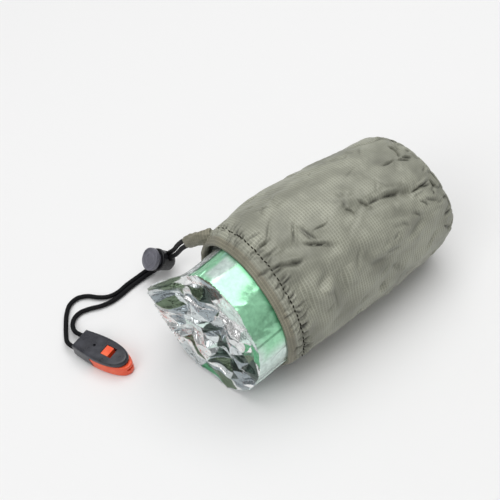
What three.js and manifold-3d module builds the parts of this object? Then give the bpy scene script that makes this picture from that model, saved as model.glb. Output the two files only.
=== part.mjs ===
// An emergency sleeping bag of metallised film, rolled up and half drawn out of its drawcord stuff sack.
// The sack lies on its side along X with its mouth towards -X. Millimetres, +Z up, the surface at z = 0.
import * as THREE from 'three';
import { ParametricGeometry } from 'three/addons/geometries/ParametricGeometry.js';
import { mergeVertices } from 'three/addons/utils/BufferGeometryUtils.js';
import Module from 'manifold-3d';

const wasm = await Module();
wasm.setup();

// General clearances
const GAP = 0.3; // between pieces that touch
const CUT_OVER = 2; // how far a cutting solid runs past the face it cuts
const TURN = 2 * Math.PI;
const RIGHT_ANGLE = Math.PI / 2;
const WELD = 1e-4; // points nearer than this are one

// The frame's origin is under the middle of the sack and roll together
const ORIGIN = { x: -16.8, y: 3.3 };

// Sack: ripstop cloth, a body rolled into a tube and a round base panel
const CLOTH = 1.2; // drawn thickness of the cloth, seam allowances in it
const SACK_AROUND = 60; // facets around the sack
const BASE_SEAM_X = 68; // where the body meets the base panel
const BASE_DOME = 6.5; // how far the base panel bulges beyond its seam
const BASE_ROWS = 4;
const BASE_ROUNDING = 2.4; // power of the panel's bulge, flat in the middle and steep at the seam
const LEAN = { by: 5, fromX: 16 }; // the top of the base is drawn back towards the mouth
const UNDERSIDE_DEG = 270; // places past this angle are counted from below, so that a fold can cross +Y
const SACK_SECTIONS = [
  { x: -66, radius: 42.2, y: 0, z: 41.3 },
  { x: -58, radius: 44.4, y: 0.6, z: 43.4 },
  { x: -42, radius: 46.0, y: 1.4, z: 44.4 },
  { x: -20, radius: 46.3, y: 2, z: 44.8 },
  { x: 4, radius: 46.0, y: 2, z: 44.6 },
  { x: 28, radius: 44.7, y: 2.2, z: 43.8 },
  { x: 48, radius: 42.8, y: 2.6, z: 42.8 },
  { x: 60, radius: 41.2, y: 2.8, z: 42.4 },
  { x: BASE_SEAM_X, radius: 38.2, y: 3, z: 42.4 },
];
// Hem rows at the mouth, from the stitched line to the lip and back inside; out is off the sack's outer face
const HEM_ROWS = [
  { x: -58.5, out: -0.5 },
  { x: -60.5, out: 0.5 },
  { x: -64, out: 0.9 },
  { x: -66.4, out: 0.2 },
  { x: -67.3, out: -1.1 },
  { x: -66.4, out: -2.4 },
  { x: -63.5, out: -2.8 },
  { x: -59.5, out: -1.9 },
];
const BODY_ROWS_X = [
  -55, -49, -43, -37, -31, -25, -19, -13, -6, 1, 8, 15, 22, 29, 36, 43, 50, 56, 61, 65, BASE_SEAM_X,
];
// Main folds: each runs from one place to another on the sack, as a trough (depth below 0) or a ridge
const FOLDS = [
  { fromX: 3, fromDeg: 118, toX: 33, toDeg: 127, width: 4.5, depth: -1.8 },
  { fromX: 33, fromDeg: 127, toX: 62, toDeg: 135, width: 5, depth: -1.6 },
  { fromX: 0, fromDeg: 110, toX: 50, toDeg: 121, width: 6, depth: 1.1 },
  { fromX: -44, fromDeg: 115, toX: -22, toDeg: 133, width: 4.5, depth: -1.4 },
  { fromX: -30, fromDeg: 101, toX: -40, toDeg: 116, width: 4.5, depth: -1.0 },
  { fromX: -50, fromDeg: 140, toX: -46, toDeg: 168, width: 6, depth: -1.8 },
  { fromX: -28, fromDeg: 152, toX: -22, toDeg: 172, width: 7, depth: -1.6 },
  { fromX: -38, fromDeg: 148, toX: -34, toDeg: 172, width: 5, depth: 1.2 },
  { fromX: -50, fromDeg: 127, toX: 24, toDeg: 152, width: 8, depth: 0.9 },
  { fromX: 2, fromDeg: 184, toX: 40, toDeg: 160, width: 6, depth: -1.3 },
  { fromX: 30, fromDeg: 178, toX: 62, toDeg: 168, width: 5, depth: -1.2 },
  { fromX: -52, fromDeg: 40, toX: -10, toDeg: 22, width: 6, depth: -1.5 },
  { fromX: -4, fromDeg: 48, toX: 44, toDeg: 30, width: 7, depth: -1.3 },
  { fromX: -30, fromDeg: 2, toX: 26, toDeg: -14, width: 7, depth: -1.4 },
];

// Beak: the rear top of the hem, pulled forward into a short flat tube by the drawcord that leaves it
const BEAK_ROUTE = [
  [-60.9, 31.9, 71.3],
  [-64.4, 35.2, 69.8],
  [-66.8, 40, 66.6],
  [-68.8, 45.3, 62.7],
  [-69.8, 48.8, 59.4],
];
const BEAK = { across: [-0.143, 0.76, 0.634], halfWidth: 4.1, halfHeight: 2.5, rows: 11, facets: 16 };
const POCKET = { halfWidth: 3.6, halfHeight: 1.9, depth: 5.2 };

// Roll: the film sleeping bag, soft rolled, its free end crumpled
const ROLL_AROUND = 48;
const ROLL_FLOOR = CLOTH + GAP; // what the roll lies on inside the sack
const SACKED_FROM_X = -60; // the roll is lifted by the sack's cloth behind this, and bare before it
const HIDDEN_END = { shares: [0.85, 0.5, 0], bulge: 3 }; // the roll's round end inside the sack
const RIM_X = -84; // where the crumpled end starts
const ROLL_END_ROWS = 9;
const ROLL_SECTIONS = [
  { x: RIM_X, radius: 37.6, y: 0.4, z: 38 },
  { x: -66, radius: 38, y: 0, z: 41.3 },
  { x: -46, radius: 41.3, y: 1, z: 43.2 },
  { x: -20, radius: 42, y: 1.8, z: 43.4 },
  { x: 10, radius: 41.8, y: 2, z: 43.2 },
  { x: 44, radius: 39, y: 2.6, z: 41.8 },
  { x: 60, radius: 34, y: 3, z: 41.8 },
];
const ROLL_ROWS_X = [RIM_X, -78, -72, -66, -58, -46, -20, 10, 34, 50, 60];
// Main peaks of the crumpled end; height is how far each stands out of the rim's plane, over its spread
const CRUMPLE_PEAKS = [
  { y: 35, z: 51, height: 27, spread: 26 },
  { y: 31, z: 20, height: 19, spread: 24 },
  { y: 8, z: 3, height: 16, spread: 22 },
  { y: 11, z: 30, height: 14, spread: 20 },
  { y: 4, z: 56, height: 9, spread: 17 },
  { y: -14, z: 14, height: 9, spread: 18 },
  { y: -16, z: 42, height: 7, spread: 16 },
  { y: 12, z: 70, height: 6, spread: 13 },
  { y: -30, z: 28, height: 4.5, spread: 13 },
];
const CRUMPLE_BASE = -1.5; // the troughs between the peaks lie this far behind the rim

// Drawcord: two strands of 3 mm cord, from the beak through the lock and round to the whistle
const CORD = { radius: 1.5, sides: 8, step: 7.2, clearance: 0.35 };
const STRAND_A_ROUTE = [
  [-69.2, 47.2, 63.4],
  [-70, 50, 60.7],
  [-70, 54.9, 55.7],
  [-69.3, 61.5, 48.3],
  [-68.2, 69, 39.2],
  [-66.8, 76.7, 29.6],
  [-65.7, 83.4, 21.9],
  [-66.1, 88.4, 16.5],
  [-70.1, 91.6, 11.7],
  [-74.1, 94.8, 7],
  [-80.2, 97.9, 3.1],
  [-88.6, 98.3, 1.8],
  [-98, 97.5, 1.8],
  [-105.7, 96.1, 1.8],
  [-112.4, 97.2, 1.8],
  [-118, 101.6, 1.8],
  [-122.8, 107.6, 1.8],
  [-128.8, 110.8, 1.8],
  [-135.4, 109.4, 1.8],
  [-141.2, 103.6, 1.8],
  [-146, 96, 1.8],
  [-150.2, 88, 2.4],
  [-152.6, 81.2, 4.2],
  [-152.4, 75.4, 5.6],
  [-151, 71, 5.8],
];
const STRAND_B_ROUTE = [
  [-68.8, 44.8, 60.9],
  [-69.6, 47.6, 58.1],
  [-69.8, 52.3, 53.3],
  [-69.3, 58.9, 46.1],
  [-68.4, 66.2, 37.2],
  [-67.4, 73.7, 28],
  [-66.7, 80.4, 20.5],
  [-67.2, 85.3, 15.3],
  [-71.2, 88.5, 10.6],
  [-75.2, 91.7, 5.8],
  [-81, 94.5, 2.7],
  [-89, 94.9, 1.8],
  [-98, 94, 1.8],
  [-105.5, 92.7, 1.8],
  [-113, 92.2, 1.8],
  [-120.4, 93.8, 1.8],
  [-127.8, 97.2, 1.8],
  [-134, 98.6, 1.8],
  [-139.4, 96.6, 2],
  [-143.1, 91.6, 2.6],
  [-144.5, 85.4, 3.7],
  [-143.6, 79.8, 5],
  [-142, 75.6, 5.7],
  [-141.1, 71.4, 5.8],
];

// Cord lock: a barrel with a sprung button, its axis from the button's face into the barrel
const LOCK = {
  face: [-80, 90.5, 19.3],
  axis: [0.7526, -0.0336, -0.6572],
  cordDirection: [-0.62, 0.46, -0.64],
  length: 19,
  radius: 7.6,
  lipSpace: 2.8, // between the button's cap and the barrel's lip
  travel: 2.5,
  taperRadius: 6,
  endRadius: 4.6,
  endLength: 2.3,
  boreRadius: 5,
  floor: 0.9,
  ease: 0.9,
  capLength: 3,
  capDish: { depth: 0.4, rim: 1.2 },
  holeAt: 12.4,
  holeWidth: 7.4,
  holeLength: 3.8,
  facets: 28,
};

// Whistle: a black shell over an orange core, lying on the surface; lengths run from its blunt end
const WHISTLE = {
  blunt: [-146.3, 74, 0],
  axis: [0.33, -0.944],
  length: 41.2,
  height: 11.5,
  bluntHalf: 7.2,
  wideHalf: 8.8,
  wideAt: 18,
  bevel: 1.3,
  facets: 8,
  outline: { bluntAlong: 0.4, bluntSwell: 1.12, wideBefore: 0.7, wideAfter: 1.62, tipFull: 0.72 },
};
// The shell's top plate, its window and small hole, the core under it and the sound slot at the core's tip
const PLATE = { from: 8, holeAt: [13.8, -0.6], holeRadius: 1, holeDepth: 1.5, holeFacets: 10 };
const WINDOW = { from: 20.8, to: 29, half: 3.7, raised: 0.68, sunk: 0.5 };
const CORE = { start: 14.3, inset: 0.2, bevel: 0.6 };
const SLOT = { half: 2.7, height: 1.8, z: 4.4, depth: 5 };

/** Makes a closed, welded geometry of any geometry: position only, no empty triangles. */
function welded(geometry) {
  const bare = geometry.clone();
  bare.deleteAttribute('normal');
  bare.deleteAttribute('uv');
  const merged = mergeVertices(bare, WELD);
  const kept = [];
  const index = merged.index.array;
  for (let i = 0; i < index.length; i += 3) {
    const [a, b, c] = [index[i], index[i + 1], index[i + 2]];
    if (a !== b && b !== c && c !== a) kept.push(a, b, c);
  }
  merged.setIndex(kept);
  return merged;
}

/** A geometry as a manifold solid. */
function solid(geometry) {
  const closed = welded(geometry);
  return new wasm.Manifold(
    new wasm.Mesh({
      numProp: 3,
      vertProperties: new Float32Array(closed.attributes.position.array),
      triVerts: new Uint32Array(closed.index.array),
    }),
  );
}

/** The geometry of a manifold solid. */
function geometryOf(manifold) {
  const mesh = manifold.getMesh();
  const geometry = new THREE.BufferGeometry();
  geometry.setAttribute('position', new THREE.BufferAttribute(mesh.vertProperties, 3));
  geometry.setIndex(new THREE.BufferAttribute(mesh.triVerts, 1));
  return geometry;
}

/** A value of a table's column at x, on a smooth curve through the rows. */
function columnAt(rows, x, column) {
  const last = rows.length - 1;
  if (x <= rows[0].x) return rows[0][column];
  if (x >= rows[last].x) return rows[last][column];
  const i = rows.findIndex((row) => row.x > x) - 1;
  const slope = (k) => {
    const [before, after] = [rows[Math.max(k - 1, 0)], rows[Math.min(k + 1, last)]];
    return (after[column] - before[column]) / (after.x - before.x);
  };
  const span = rows[i + 1].x - rows[i].x;
  const t = (x - rows[i].x) / span;
  const [t2, t3] = [t * t, t * t * t];
  return (
    (2 * t3 - 3 * t2 + 1) * rows[i][column] +
    (t3 - 2 * t2 + t) * span * slope(i) +
    (3 * t2 - 2 * t3) * rows[i + 1][column] +
    (t3 - t2) * span * slope(i + 1)
  );
}

/** A closed surface through rings of points; ring(i, angle, target) gives one point of ring i. */
function ringSolid(ring, rings, closesOnItself, around) {
  const stacks = closesOnItself ? rings : rings - 1;
  const point = (u, v, target) => ring(Math.round(v * stacks) % rings, u * TURN, target);
  return welded(new ParametricGeometry(point, around, stacks));
}

/** How far the folds push the sack's face out at a place on it. */
function foldAt(x, angle, radius) {
  let out = 0;
  for (const fold of FOLDS) {
    const start = new THREE.Vector2(fold.fromX, THREE.MathUtils.degToRad(fold.fromDeg) * radius);
    const end = new THREE.Vector2(fold.toX, THREE.MathUtils.degToRad(fold.toDeg) * radius);
    const wrapped = angle > THREE.MathUtils.degToRad(UNDERSIDE_DEG) ? angle - TURN : angle;
    const place = new THREE.Vector2(x, wrapped * radius);
    const along = end.clone().sub(start);
    const share = THREE.MathUtils.clamp(place.clone().sub(start).dot(along) / along.lengthSq(), 0, 1);
    const nearest = start.addScaledVector(along, share);
    out += fold.depth * Math.exp(-((place.distanceTo(nearest) / fold.width) ** 2));
  }
  return out;
}

/** How far a place on the sack is shifted along X, because its base leans back. */
function leanAt(x, angle) {
  const share = THREE.MathUtils.clamp((x - LEAN.fromX) / (BASE_SEAM_X - LEAN.fromX), 0, 1);
  return -LEAN.by * share * share * Math.max(Math.sin(angle), 0);
}

/** A point of the sack at x and an angle from +Y towards +Z; out moves it off the outer face. */
function sackPoint(x, angle, out, target) {
  const radius = columnAt(SACK_SECTIONS, x, 'radius');
  const r = radius + out + foldAt(x, angle, radius);
  const y = columnAt(SACK_SECTIONS, x, 'y') + r * Math.cos(angle);
  const z = columnAt(SACK_SECTIONS, x, 'z') + r * Math.sin(angle);
  return target.set(x + leanAt(x, angle), y, Math.max(z, Math.max(-out, 0)));
}

/** The sack's body: a tube of cloth with its hem rolled round the mouth. */
function sackTube() {
  const outer = BODY_ROWS_X.map((x) => ({ x, out: 0 }));
  const inner = BODY_ROWS_X.map((x) => ({ x, out: -CLOTH })).reverse();
  const rows = [...HEM_ROWS.slice(0, 5).reverse(), ...outer, ...inner, ...HEM_ROWS.slice(5).reverse()];
  const ring = (i, angle, target) => sackPoint(rows[i].x, angle, rows[i].out, target);
  return ringSolid(ring, rows.length, true, SACK_AROUND);
}

/** A curve through a route's points. */
function routeCurve(route) {
  return new THREE.CatmullRomCurve3(route.map((p) => new THREE.Vector3(...p)), false, 'centripetal');
}

/** A solid of one section swept along a curve. */
function swept(shape, curve, steps, curveSegments) {
  return new THREE.ExtrudeGeometry(shape, { steps, curveSegments, bevelEnabled: false, extrudePath: curve });
}

/** A closed tube of oval section along a curve, its long side kept along one direction. */
function ovalTube(curve, across, { halfWidth, halfHeight }, rows, facets) {
  const long = new THREE.Vector3(...across);
  const ring = (i, angle, target) => {
    const t = THREE.MathUtils.clamp((i - 1) / (rows - 1), 0, 1);
    const open = i === 0 || i === rows + 1 ? 0 : 1;
    const along = curve.getTangentAt(t);
    const wide = long.clone().addScaledVector(along, -along.dot(long)).normalize();
    const high = new THREE.Vector3().crossVectors(along, wide);
    target.copy(curve.getPointAt(t));
    target.addScaledVector(wide, open * halfWidth * Math.cos(angle));
    target.addScaledVector(high, open * halfHeight * Math.sin(angle));
  };
  return ringSolid(ring, rows + 2, false, facets);
}

/** The sack with its beak joined to the hem, and the pocket that the strands enter cut into it. */
function sackBody() {
  const curve = routeCurve(BEAK_ROUTE);
  const beak = ovalTube(curve, BEAK.across, BEAK, BEAK.rows, BEAK.facets);
  const tip = curve.getPointAt(1);
  const back = curve.getTangentAt(1).negate();
  const bore = new THREE.LineCurve3(
    tip.clone().addScaledVector(back, POCKET.depth),
    tip.clone().addScaledVector(back, -CUT_OVER),
  );
  const pocket = ovalTube(bore, BEAK.across, POCKET, 2, BEAK.facets);
  return geometryOf(clearOfCord(solid(sackTube()).add(solid(beak)).subtract(solid(pocket))));
}

/** The round base panel: a dished disc of cloth a gap beyond the body's end. */
function sackBase() {
  const shares = Array.from({ length: BASE_ROWS + 1 }, (_, i) => i / BASE_ROWS);
  const edge = SACK_SECTIONS[SACK_SECTIONS.length - 1];
  const rows = [
    ...shares.map((share) => ({ share, back: CLOTH })),
    ...shares.map((share) => ({ share, back: 0 })).reverse(),
  ];
  const ring = (i, angle, target) => {
    const { share, back } = rows[i];
    const r = share * (edge.radius - GAP);
    const x = BASE_SEAM_X + GAP + CLOTH + BASE_DOME * (1 - share ** BASE_ROUNDING) - back;
    const lean = share * leanAt(BASE_SEAM_X, angle);
    target.set(x + lean, edge.y + r * Math.cos(angle), Math.max(edge.z + r * Math.sin(angle), 0));
  };
  return ringSolid(ring, rows.length, false, SACK_AROUND);
}

/** How far the crumpled end stands out of the rim's plane. */
function crumpleAt(y, z) {
  return CRUMPLE_PEAKS.reduce((height, peak) => {
    const away = Math.hypot(y - peak.y, z - peak.z) / peak.spread;
    return Math.max(height, peak.height * (1 - away));
  }, CRUMPLE_BASE);
}

/** The rolled film: its wound form, flat beneath, with one crumpled end. */
function filmRoll() {
  const side = ROLL_ROWS_X.map((x) => ({ x, share: 1 }));
  const last = ROLL_ROWS_X[ROLL_ROWS_X.length - 1];
  const hidden = HIDDEN_END.shares.map((share) => ({ x: last + (1 - share) * HIDDEN_END.bulge, share }));
  const shares = Array.from({ length: ROLL_END_ROWS }, (_, i) => i / ROLL_END_ROWS);
  const end = shares.map((share) => ({ x: RIM_X, share, crumpled: true }));
  const rows = [...end, ...side, ...hidden];
  const ring = (i, angle, target) => {
    const { x, share, crumpled } = rows[i];
    const r = columnAt(ROLL_SECTIONS, x, 'radius') * share;
    const centreY = columnAt(ROLL_SECTIONS, x, 'y');
    const centreZ = columnAt(ROLL_SECTIONS, x, 'z');
    const y = centreY + r * Math.cos(angle);
    const z = Math.max(centreZ + r * Math.sin(angle), x > SACKED_FROM_X ? ROLL_FLOOR : 0);
    const forward = crumpled || x === RIM_X ? crumpleAt(y, z) : 0;
    target.set(x - forward, y, z);
  };
  return ringSolid(ring, rows.length, false, ROLL_AROUND);
}

/** A round tube along a route, in the strands' steps. */
function cordTube(route, radius) {
  const section = new THREE.Shape().absarc(0, 0, radius, 0, TURN);
  const curve = routeCurve(route);
  return swept(section, curve, Math.round(curve.getLength() / CORD.step), CORD.sides / 2);
}

/** The space that a strand takes up: its tube, wider by a clearance all round and at its two ends. */
function cordSpace(route) {
  const radius = CORD.radius + CORD.clearance;
  const curve = routeCurve(route);
  const ends = [0, 1].map((t) => {
    const [end, along] = [curve.getPointAt(t), curve.getTangentAt(t)];
    const line = new THREE.LineCurve3(
      end.clone().addScaledVector(along, -CORD.clearance),
      end.clone().addScaledVector(along, CORD.clearance),
    );
    return solid(swept(new THREE.Shape().absarc(0, 0, radius, 0, TURN), line, 1, CORD.sides / 2));
  });
  return ends.reduce((space, end) => space.add(end), solid(cordTube(route, radius)));
}

/** A solid with the space of both strands taken out of it. */
function clearOfCord(manifold) {
  return manifold.subtract(cordSpace(STRAND_A_ROUTE)).subtract(cordSpace(STRAND_B_ROUTE));
}

/** Turns the lock's own frame, with its axis along Z and the cord along X, to where it lies. */
function lockPlace() {
  const along = new THREE.Vector3(...LOCK.axis).normalize();
  const cord = new THREE.Vector3(...LOCK.cordDirection);
  cord.addScaledVector(along, -cord.dot(along)).normalize();
  const across = new THREE.Vector3().crossVectors(along, cord);
  return new THREE.Matrix4().makeBasis(cord, across, along).setPosition(...LOCK.face);
}

/** A turned solid from a profile of [radius, height] rows, its axis along Z. */
function turned(profile) {
  const points = profile.map(([r, z]) => new THREE.Vector2(r, z));
  const upright = new THREE.Matrix4().makeRotationX(RIGHT_ANGLE);
  return new THREE.LatheGeometry(points, LOCK.facets).applyMatrix4(upright);
}

/** A box along X through the lock, as wide as the cord's hole. */
function lockHole(from, to) {
  const box = new THREE.BoxGeometry(4 * LOCK.radius, LOCK.holeWidth, to - from);
  return solid(box.translate(0, 0, (from + to) / 2));
}

/** The lock's barrel: a tapered cup with a hole across it for the strands. */
function lockBarrel() {
  const { radius, taperRadius, endRadius, endLength, boreRadius, ease } = LOCK;
  const { length, floor, holeAt, holeLength } = LOCK;
  const lip = LOCK.capLength + LOCK.lipSpace;
  const cup = turned([
    [0, length - floor],
    [boreRadius - ease, length - floor],
    [boreRadius, length - floor - ease],
    [boreRadius, lip],
    [radius - ease, lip],
    [radius, lip + ease],
    [taperRadius, length - endLength],
    [endRadius, length],
    [0, length],
  ]);
  const hole = lockHole(holeAt - holeLength / 2, holeAt + holeLength / 2);
  return geometryOf(clearOfCord(solid(cup).subtract(hole).transform([...lockPlace().elements])));
}

/** The lock's button: a dished cap on a stem, with a slot that lets the strands through as it slides. */
function lockButton() {
  const { radius, ease, capLength, capDish, length, floor, travel, boreRadius, holeAt, holeLength } = LOCK;
  const stemEnd = length - floor - travel - GAP;
  const stemRadius = boreRadius - GAP;
  const button = turned([
    [0, capDish.depth],
    [radius - ease - capDish.rim, capDish.depth],
    [radius - ease - capDish.rim + capDish.depth, 0],
    [radius - ease, 0],
    [radius, ease],
    [radius, capLength],
    [stemRadius, capLength],
    [stemRadius, stemEnd - ease],
    [stemRadius - ease, stemEnd],
    [0, stemEnd],
  ]);
  const slot = lockHole(holeAt - holeLength / 2 - travel, holeAt + holeLength / 2);
  return geometryOf(solid(button).subtract(slot).transform([...lockPlace().elements]));
}

/** The whistle's outline, its blunt end at x = 0 and its tip along +X, drawn in by inset. */
function whistleOutline(inset) {
  const { length, bluntHalf, wideHalf, wideAt, outline } = WHISTLE;
  const [blunt, wide, tip] = [bluntHalf - inset, wideHalf - inset, length - inset];
  const swell = [wideAt * outline.bluntAlong, blunt * outline.bluntSwell];
  const half = (side) => [
    [swell[0], side * swell[1], wideAt * outline.wideBefore, side * wide, wideAt, side * wide],
    [wideAt * outline.wideAfter, side * wide, tip, side * wide * outline.tipFull, tip, 0],
  ];
  const shape = new THREE.Shape().moveTo(inset, -blunt);
  half(-1).forEach((curve) => shape.bezierCurveTo(...curve));
  const [wideCurve, bluntCurve] = half(1);
  shape.bezierCurveTo(bluntCurve[2], bluntCurve[3], bluntCurve[0], bluntCurve[1], wideAt, wide);
  shape.bezierCurveTo(wideCurve[2], wideCurve[3], wideCurve[0], wideCurve[1], inset, blunt);
  return shape.closePath();
}

/** The outline as a solid from one height to another, its edges eased by bevel. */
function whistleSlab(from, to, inset, bevel) {
  const slab = new THREE.ExtrudeGeometry(whistleOutline(inset + bevel), {
    depth: to - from - 2 * bevel,
    curveSegments: WHISTLE.facets,
    bevelThickness: bevel,
    bevelSize: bevel,
    bevelSegments: 2,
  });
  return solid(slab.translate(0, 0, from + bevel));
}

/** A box in the whistle's own frame, from its lower to its upper corner. */
function block(low, high) {
  const [a, b] = [new THREE.Vector3(...low), new THREE.Vector3(...high)];
  const size = b.clone().sub(a);
  const middle = a.add(b).multiplyScalar(0.5);
  return solid(new THREE.BoxGeometry(size.x, size.y, size.z).translate(middle.x, middle.y, middle.z));
}

/** Turns the whistle's own frame to where it lies on the surface. */
function whistlePlace() {
  const along = new THREE.Vector3(...WHISTLE.axis, 0).normalize();
  const up = new THREE.Vector3(0, 0, 1);
  const across = new THREE.Vector3().crossVectors(up, along);
  return new THREE.Matrix4().makeBasis(along, across, up).setPosition(...WHISTLE.blunt);
}

/** The whistle's black shell: full height at the blunt end, a top plate with a window over the core. */
function whistleShell() {
  const { height, bevel, length } = WHISTLE;
  const beyond = [length + CUT_OVER, 2 * WHISTLE.wideHalf, height + CUT_OVER];
  const { holeRadius, holeDepth, holeFacets } = PLATE;
  const hole = new THREE.CylinderGeometry(holeRadius, holeRadius, 2 * holeDepth, holeFacets);
  const shell = whistleSlab(0, height, 0, bevel)
    .subtract(block([CORE.start, -beyond[1], -CUT_OVER], [beyond[0], beyond[1], PLATE.from]))
    .subtract(block([WINDOW.from, -WINDOW.half, PLATE.from - CUT_OVER], [WINDOW.to, WINDOW.half, beyond[2]]))
    .subtract(solid(hole.rotateX(RIGHT_ANGLE).translate(...PLATE.holeAt, height)));
  return geometryOf(clearOfCord(shell.transform([...whistlePlace().elements])));
}

/** The whistle's orange core: the lower body, its block in the window and the slot at the tip. */
function whistleCore() {
  const { height, length } = WHISTLE;
  const wide = 2 * WHISTLE.wideHalf;
  const [low, high] = [SLOT.z - SLOT.height / 2, SLOT.z + SLOT.height / 2];
  const [start, end, half] = [WINDOW.from + GAP, WINDOW.to - GAP, WINDOW.half - GAP];
  const step = WINDOW.from + (WINDOW.to - WINDOW.from) * WINDOW.raised;
  const core = whistleSlab(0, PLATE.from - GAP, CORE.inset, CORE.bevel)
    .subtract(block([-CUT_OVER, -wide, -CUT_OVER], [CORE.start + GAP, wide, height]))
    .subtract(block([length - SLOT.depth, -SLOT.half, low], [length + CUT_OVER, SLOT.half, high]))
    .subtract(block([step, -half, SLOT.z], [end, half, height]))
    .add(block([start, -half, SLOT.z], [step, half, height - WINDOW.sunk]));
  return geometryOf(core.transform([...whistlePlace().elements]));
}

/** A mesh of one sub-part with its finish. */
function piece(name, geometry, color, roughness, metalness) {
  const mesh = new THREE.Mesh(geometry, new THREE.MeshStandardMaterial({ color, roughness, metalness }));
  mesh.name = name;
  return mesh;
}

const bag = new THREE.Group();
bag.add(
  piece('sack_body', sackBody(), '#7b7a68', 0.7, 0),
  piece('sack_base', sackBase(), '#75745f', 0.7, 0),
  piece('film_roll', filmRoll(), '#7fb78c', 0.3, 0.6),
  piece('drawcord_strand_a', cordTube(STRAND_A_ROUTE, CORD.radius), '#15151a', 0.85, 0),
  piece('drawcord_strand_b', cordTube(STRAND_B_ROUTE, CORD.radius), '#15151a', 0.85, 0),
  piece('cord_lock_barrel', lockBarrel(), '#1b1b1f', 0.5, 0),
  piece('cord_lock_button', lockButton(), '#3c3c44', 0.5, 0),
  piece('whistle_shell', whistleShell(), '#2b2e34', 0.5, 0),
  piece('whistle_core', whistleCore(), '#f2603a', 0.45, 0),
);
bag.position.set(-ORIGIN.x, -ORIGIN.y, 0);

export default bag;
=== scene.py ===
"""An emergency sleeping bag of metallised film, rolled up and half drawn out of its drawcord stuff sack."""

import logging
import math
from dataclasses import dataclass
from enum import Enum
from typing import NamedTuple, Optional, Sequence

import bmesh
import bpy
import numpy as np
from mathutils import Matrix, Vector
from mathutils.geometry import delaunay_2d_cdt


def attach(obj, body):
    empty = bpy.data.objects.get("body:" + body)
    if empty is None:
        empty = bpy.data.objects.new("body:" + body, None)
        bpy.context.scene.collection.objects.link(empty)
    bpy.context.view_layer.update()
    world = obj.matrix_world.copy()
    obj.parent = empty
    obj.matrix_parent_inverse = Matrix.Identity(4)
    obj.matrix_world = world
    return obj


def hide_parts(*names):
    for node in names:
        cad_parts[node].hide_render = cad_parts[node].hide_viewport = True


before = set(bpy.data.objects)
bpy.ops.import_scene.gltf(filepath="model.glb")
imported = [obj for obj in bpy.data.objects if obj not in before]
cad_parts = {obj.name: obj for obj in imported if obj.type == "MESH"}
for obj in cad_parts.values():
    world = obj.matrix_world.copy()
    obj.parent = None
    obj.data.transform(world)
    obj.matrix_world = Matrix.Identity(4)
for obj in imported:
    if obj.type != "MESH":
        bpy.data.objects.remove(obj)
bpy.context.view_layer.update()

log = logging.getLogger("sleeping_bag")

Pair = tuple[float, float]
Triple = tuple[float, float, float]

MM = 0.001
TURN = 2 * math.pi
UP = np.array((0.0, 0.0, 1.0))
CAD_SHIFT = np.array((16.8, -3.3, 0.0))  # mm, from the sack's own axes to the shared frame
SAME_PLACE = 1e-7  # metres: points that are closer than this are merged
NO_LENGTH = 1e-8  # metres: edges that are shorter than this are dropped
ALL_SMOOTH_DEG = 180.0  # no edge bends more than this, so none is shaded sharp
PAST = 2.0  # mm that a cutting solid reaches past the faces it cuts
FACE_CORNERS = ((0, 0), (0, 1), (1, 1), (1, 0))  # a grid face's corners, as steps to the next ring and point
CURVE_STEPS = 24  # points that a curve is first drawn with between two points of its route
CURVE_SPANS = (((0, 1), (1, 2), (2, 3)), ((0, 2), (1, 3)), ((1, 2),))  # the knots of each stage
BAG_BODY = "bag"
BUTTON_BODY = "lock_button"


# Tables: each row's columns are named here

class Section(NamedTuple):
    """A round cross-section at x, in mm: its radius and its centre's y and z."""

    x: float
    radius: float
    y: float
    z: float


class Crease(NamedTuple):
    """A fold in the sack's cloth between two places, each an x (mm) and degrees from +Y towards +Z."""

    from_x: float
    from_deg: float
    to_x: float
    to_deg: float
    width: float
    depth: float


class ProfilePoint(NamedTuple):
    """A point of the hem's section: x along the sack and its distance off the outer face, in mm."""

    x: float
    out: float


class FilmPoint(NamedTuple):
    """A corner of the crumpled film's facets: its y and z, and how far it stands out of the rim, in mm."""

    y: float
    z: float
    out: float


class Tone(Enum):
    """What a facet of the film shows the eye: its printed face, its bare metal side, a painted reflection of
    its bright or dark surroundings, or the painted shade of a deep fold.
    """

    GREEN = "#9fe0b6"
    DEEP_GREEN = "#5aa578"
    MINT = "#d9ece5"
    OLIVE = "#687a63"
    SILVER = "#d3dadb"
    WHITE = "#f6f9f8"
    SLATE = "#a0abb0"
    DARK = "#3a4a43"
    LILAC = "#a9b2dd"


class Patch(NamedTuple):
    """A tone on the roll's side: its x (mm) and degrees, and how far it reaches in each."""

    x: float
    deg: float
    tone: Tone
    reach_x: float
    reach_deg: float


class Step(Enum):
    """The ways that one solid changes another."""

    JOIN = "UNION"
    CUT = "DIFFERENCE"


# Small shared helpers

def linear(hex_colour: str) -> tuple[float, float, float, float]:
    """Turns an sRGB hex colour into Blender's linear colour.

    Args:
        hex_colour: the colour as "#rrggbb".

    Returns:
        Linear red, green, blue and alpha.
    """
    parts = [int(hex_colour[i:i + 2], 16) / 255 for i in (1, 3, 5)]
    red, green, blue = (c / 12.92 if c <= 0.04045 else ((c + 0.055) / 1.055) ** 2.4 for c in parts)
    return (red, green, blue, 1.0)


def placed(points: Sequence) -> np.ndarray:
    """Moves points from the sack's own axes, in mm, to the shared frame, in metres."""
    return (np.asarray(points, dtype=float) + CAD_SHIFT) * MM


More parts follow.
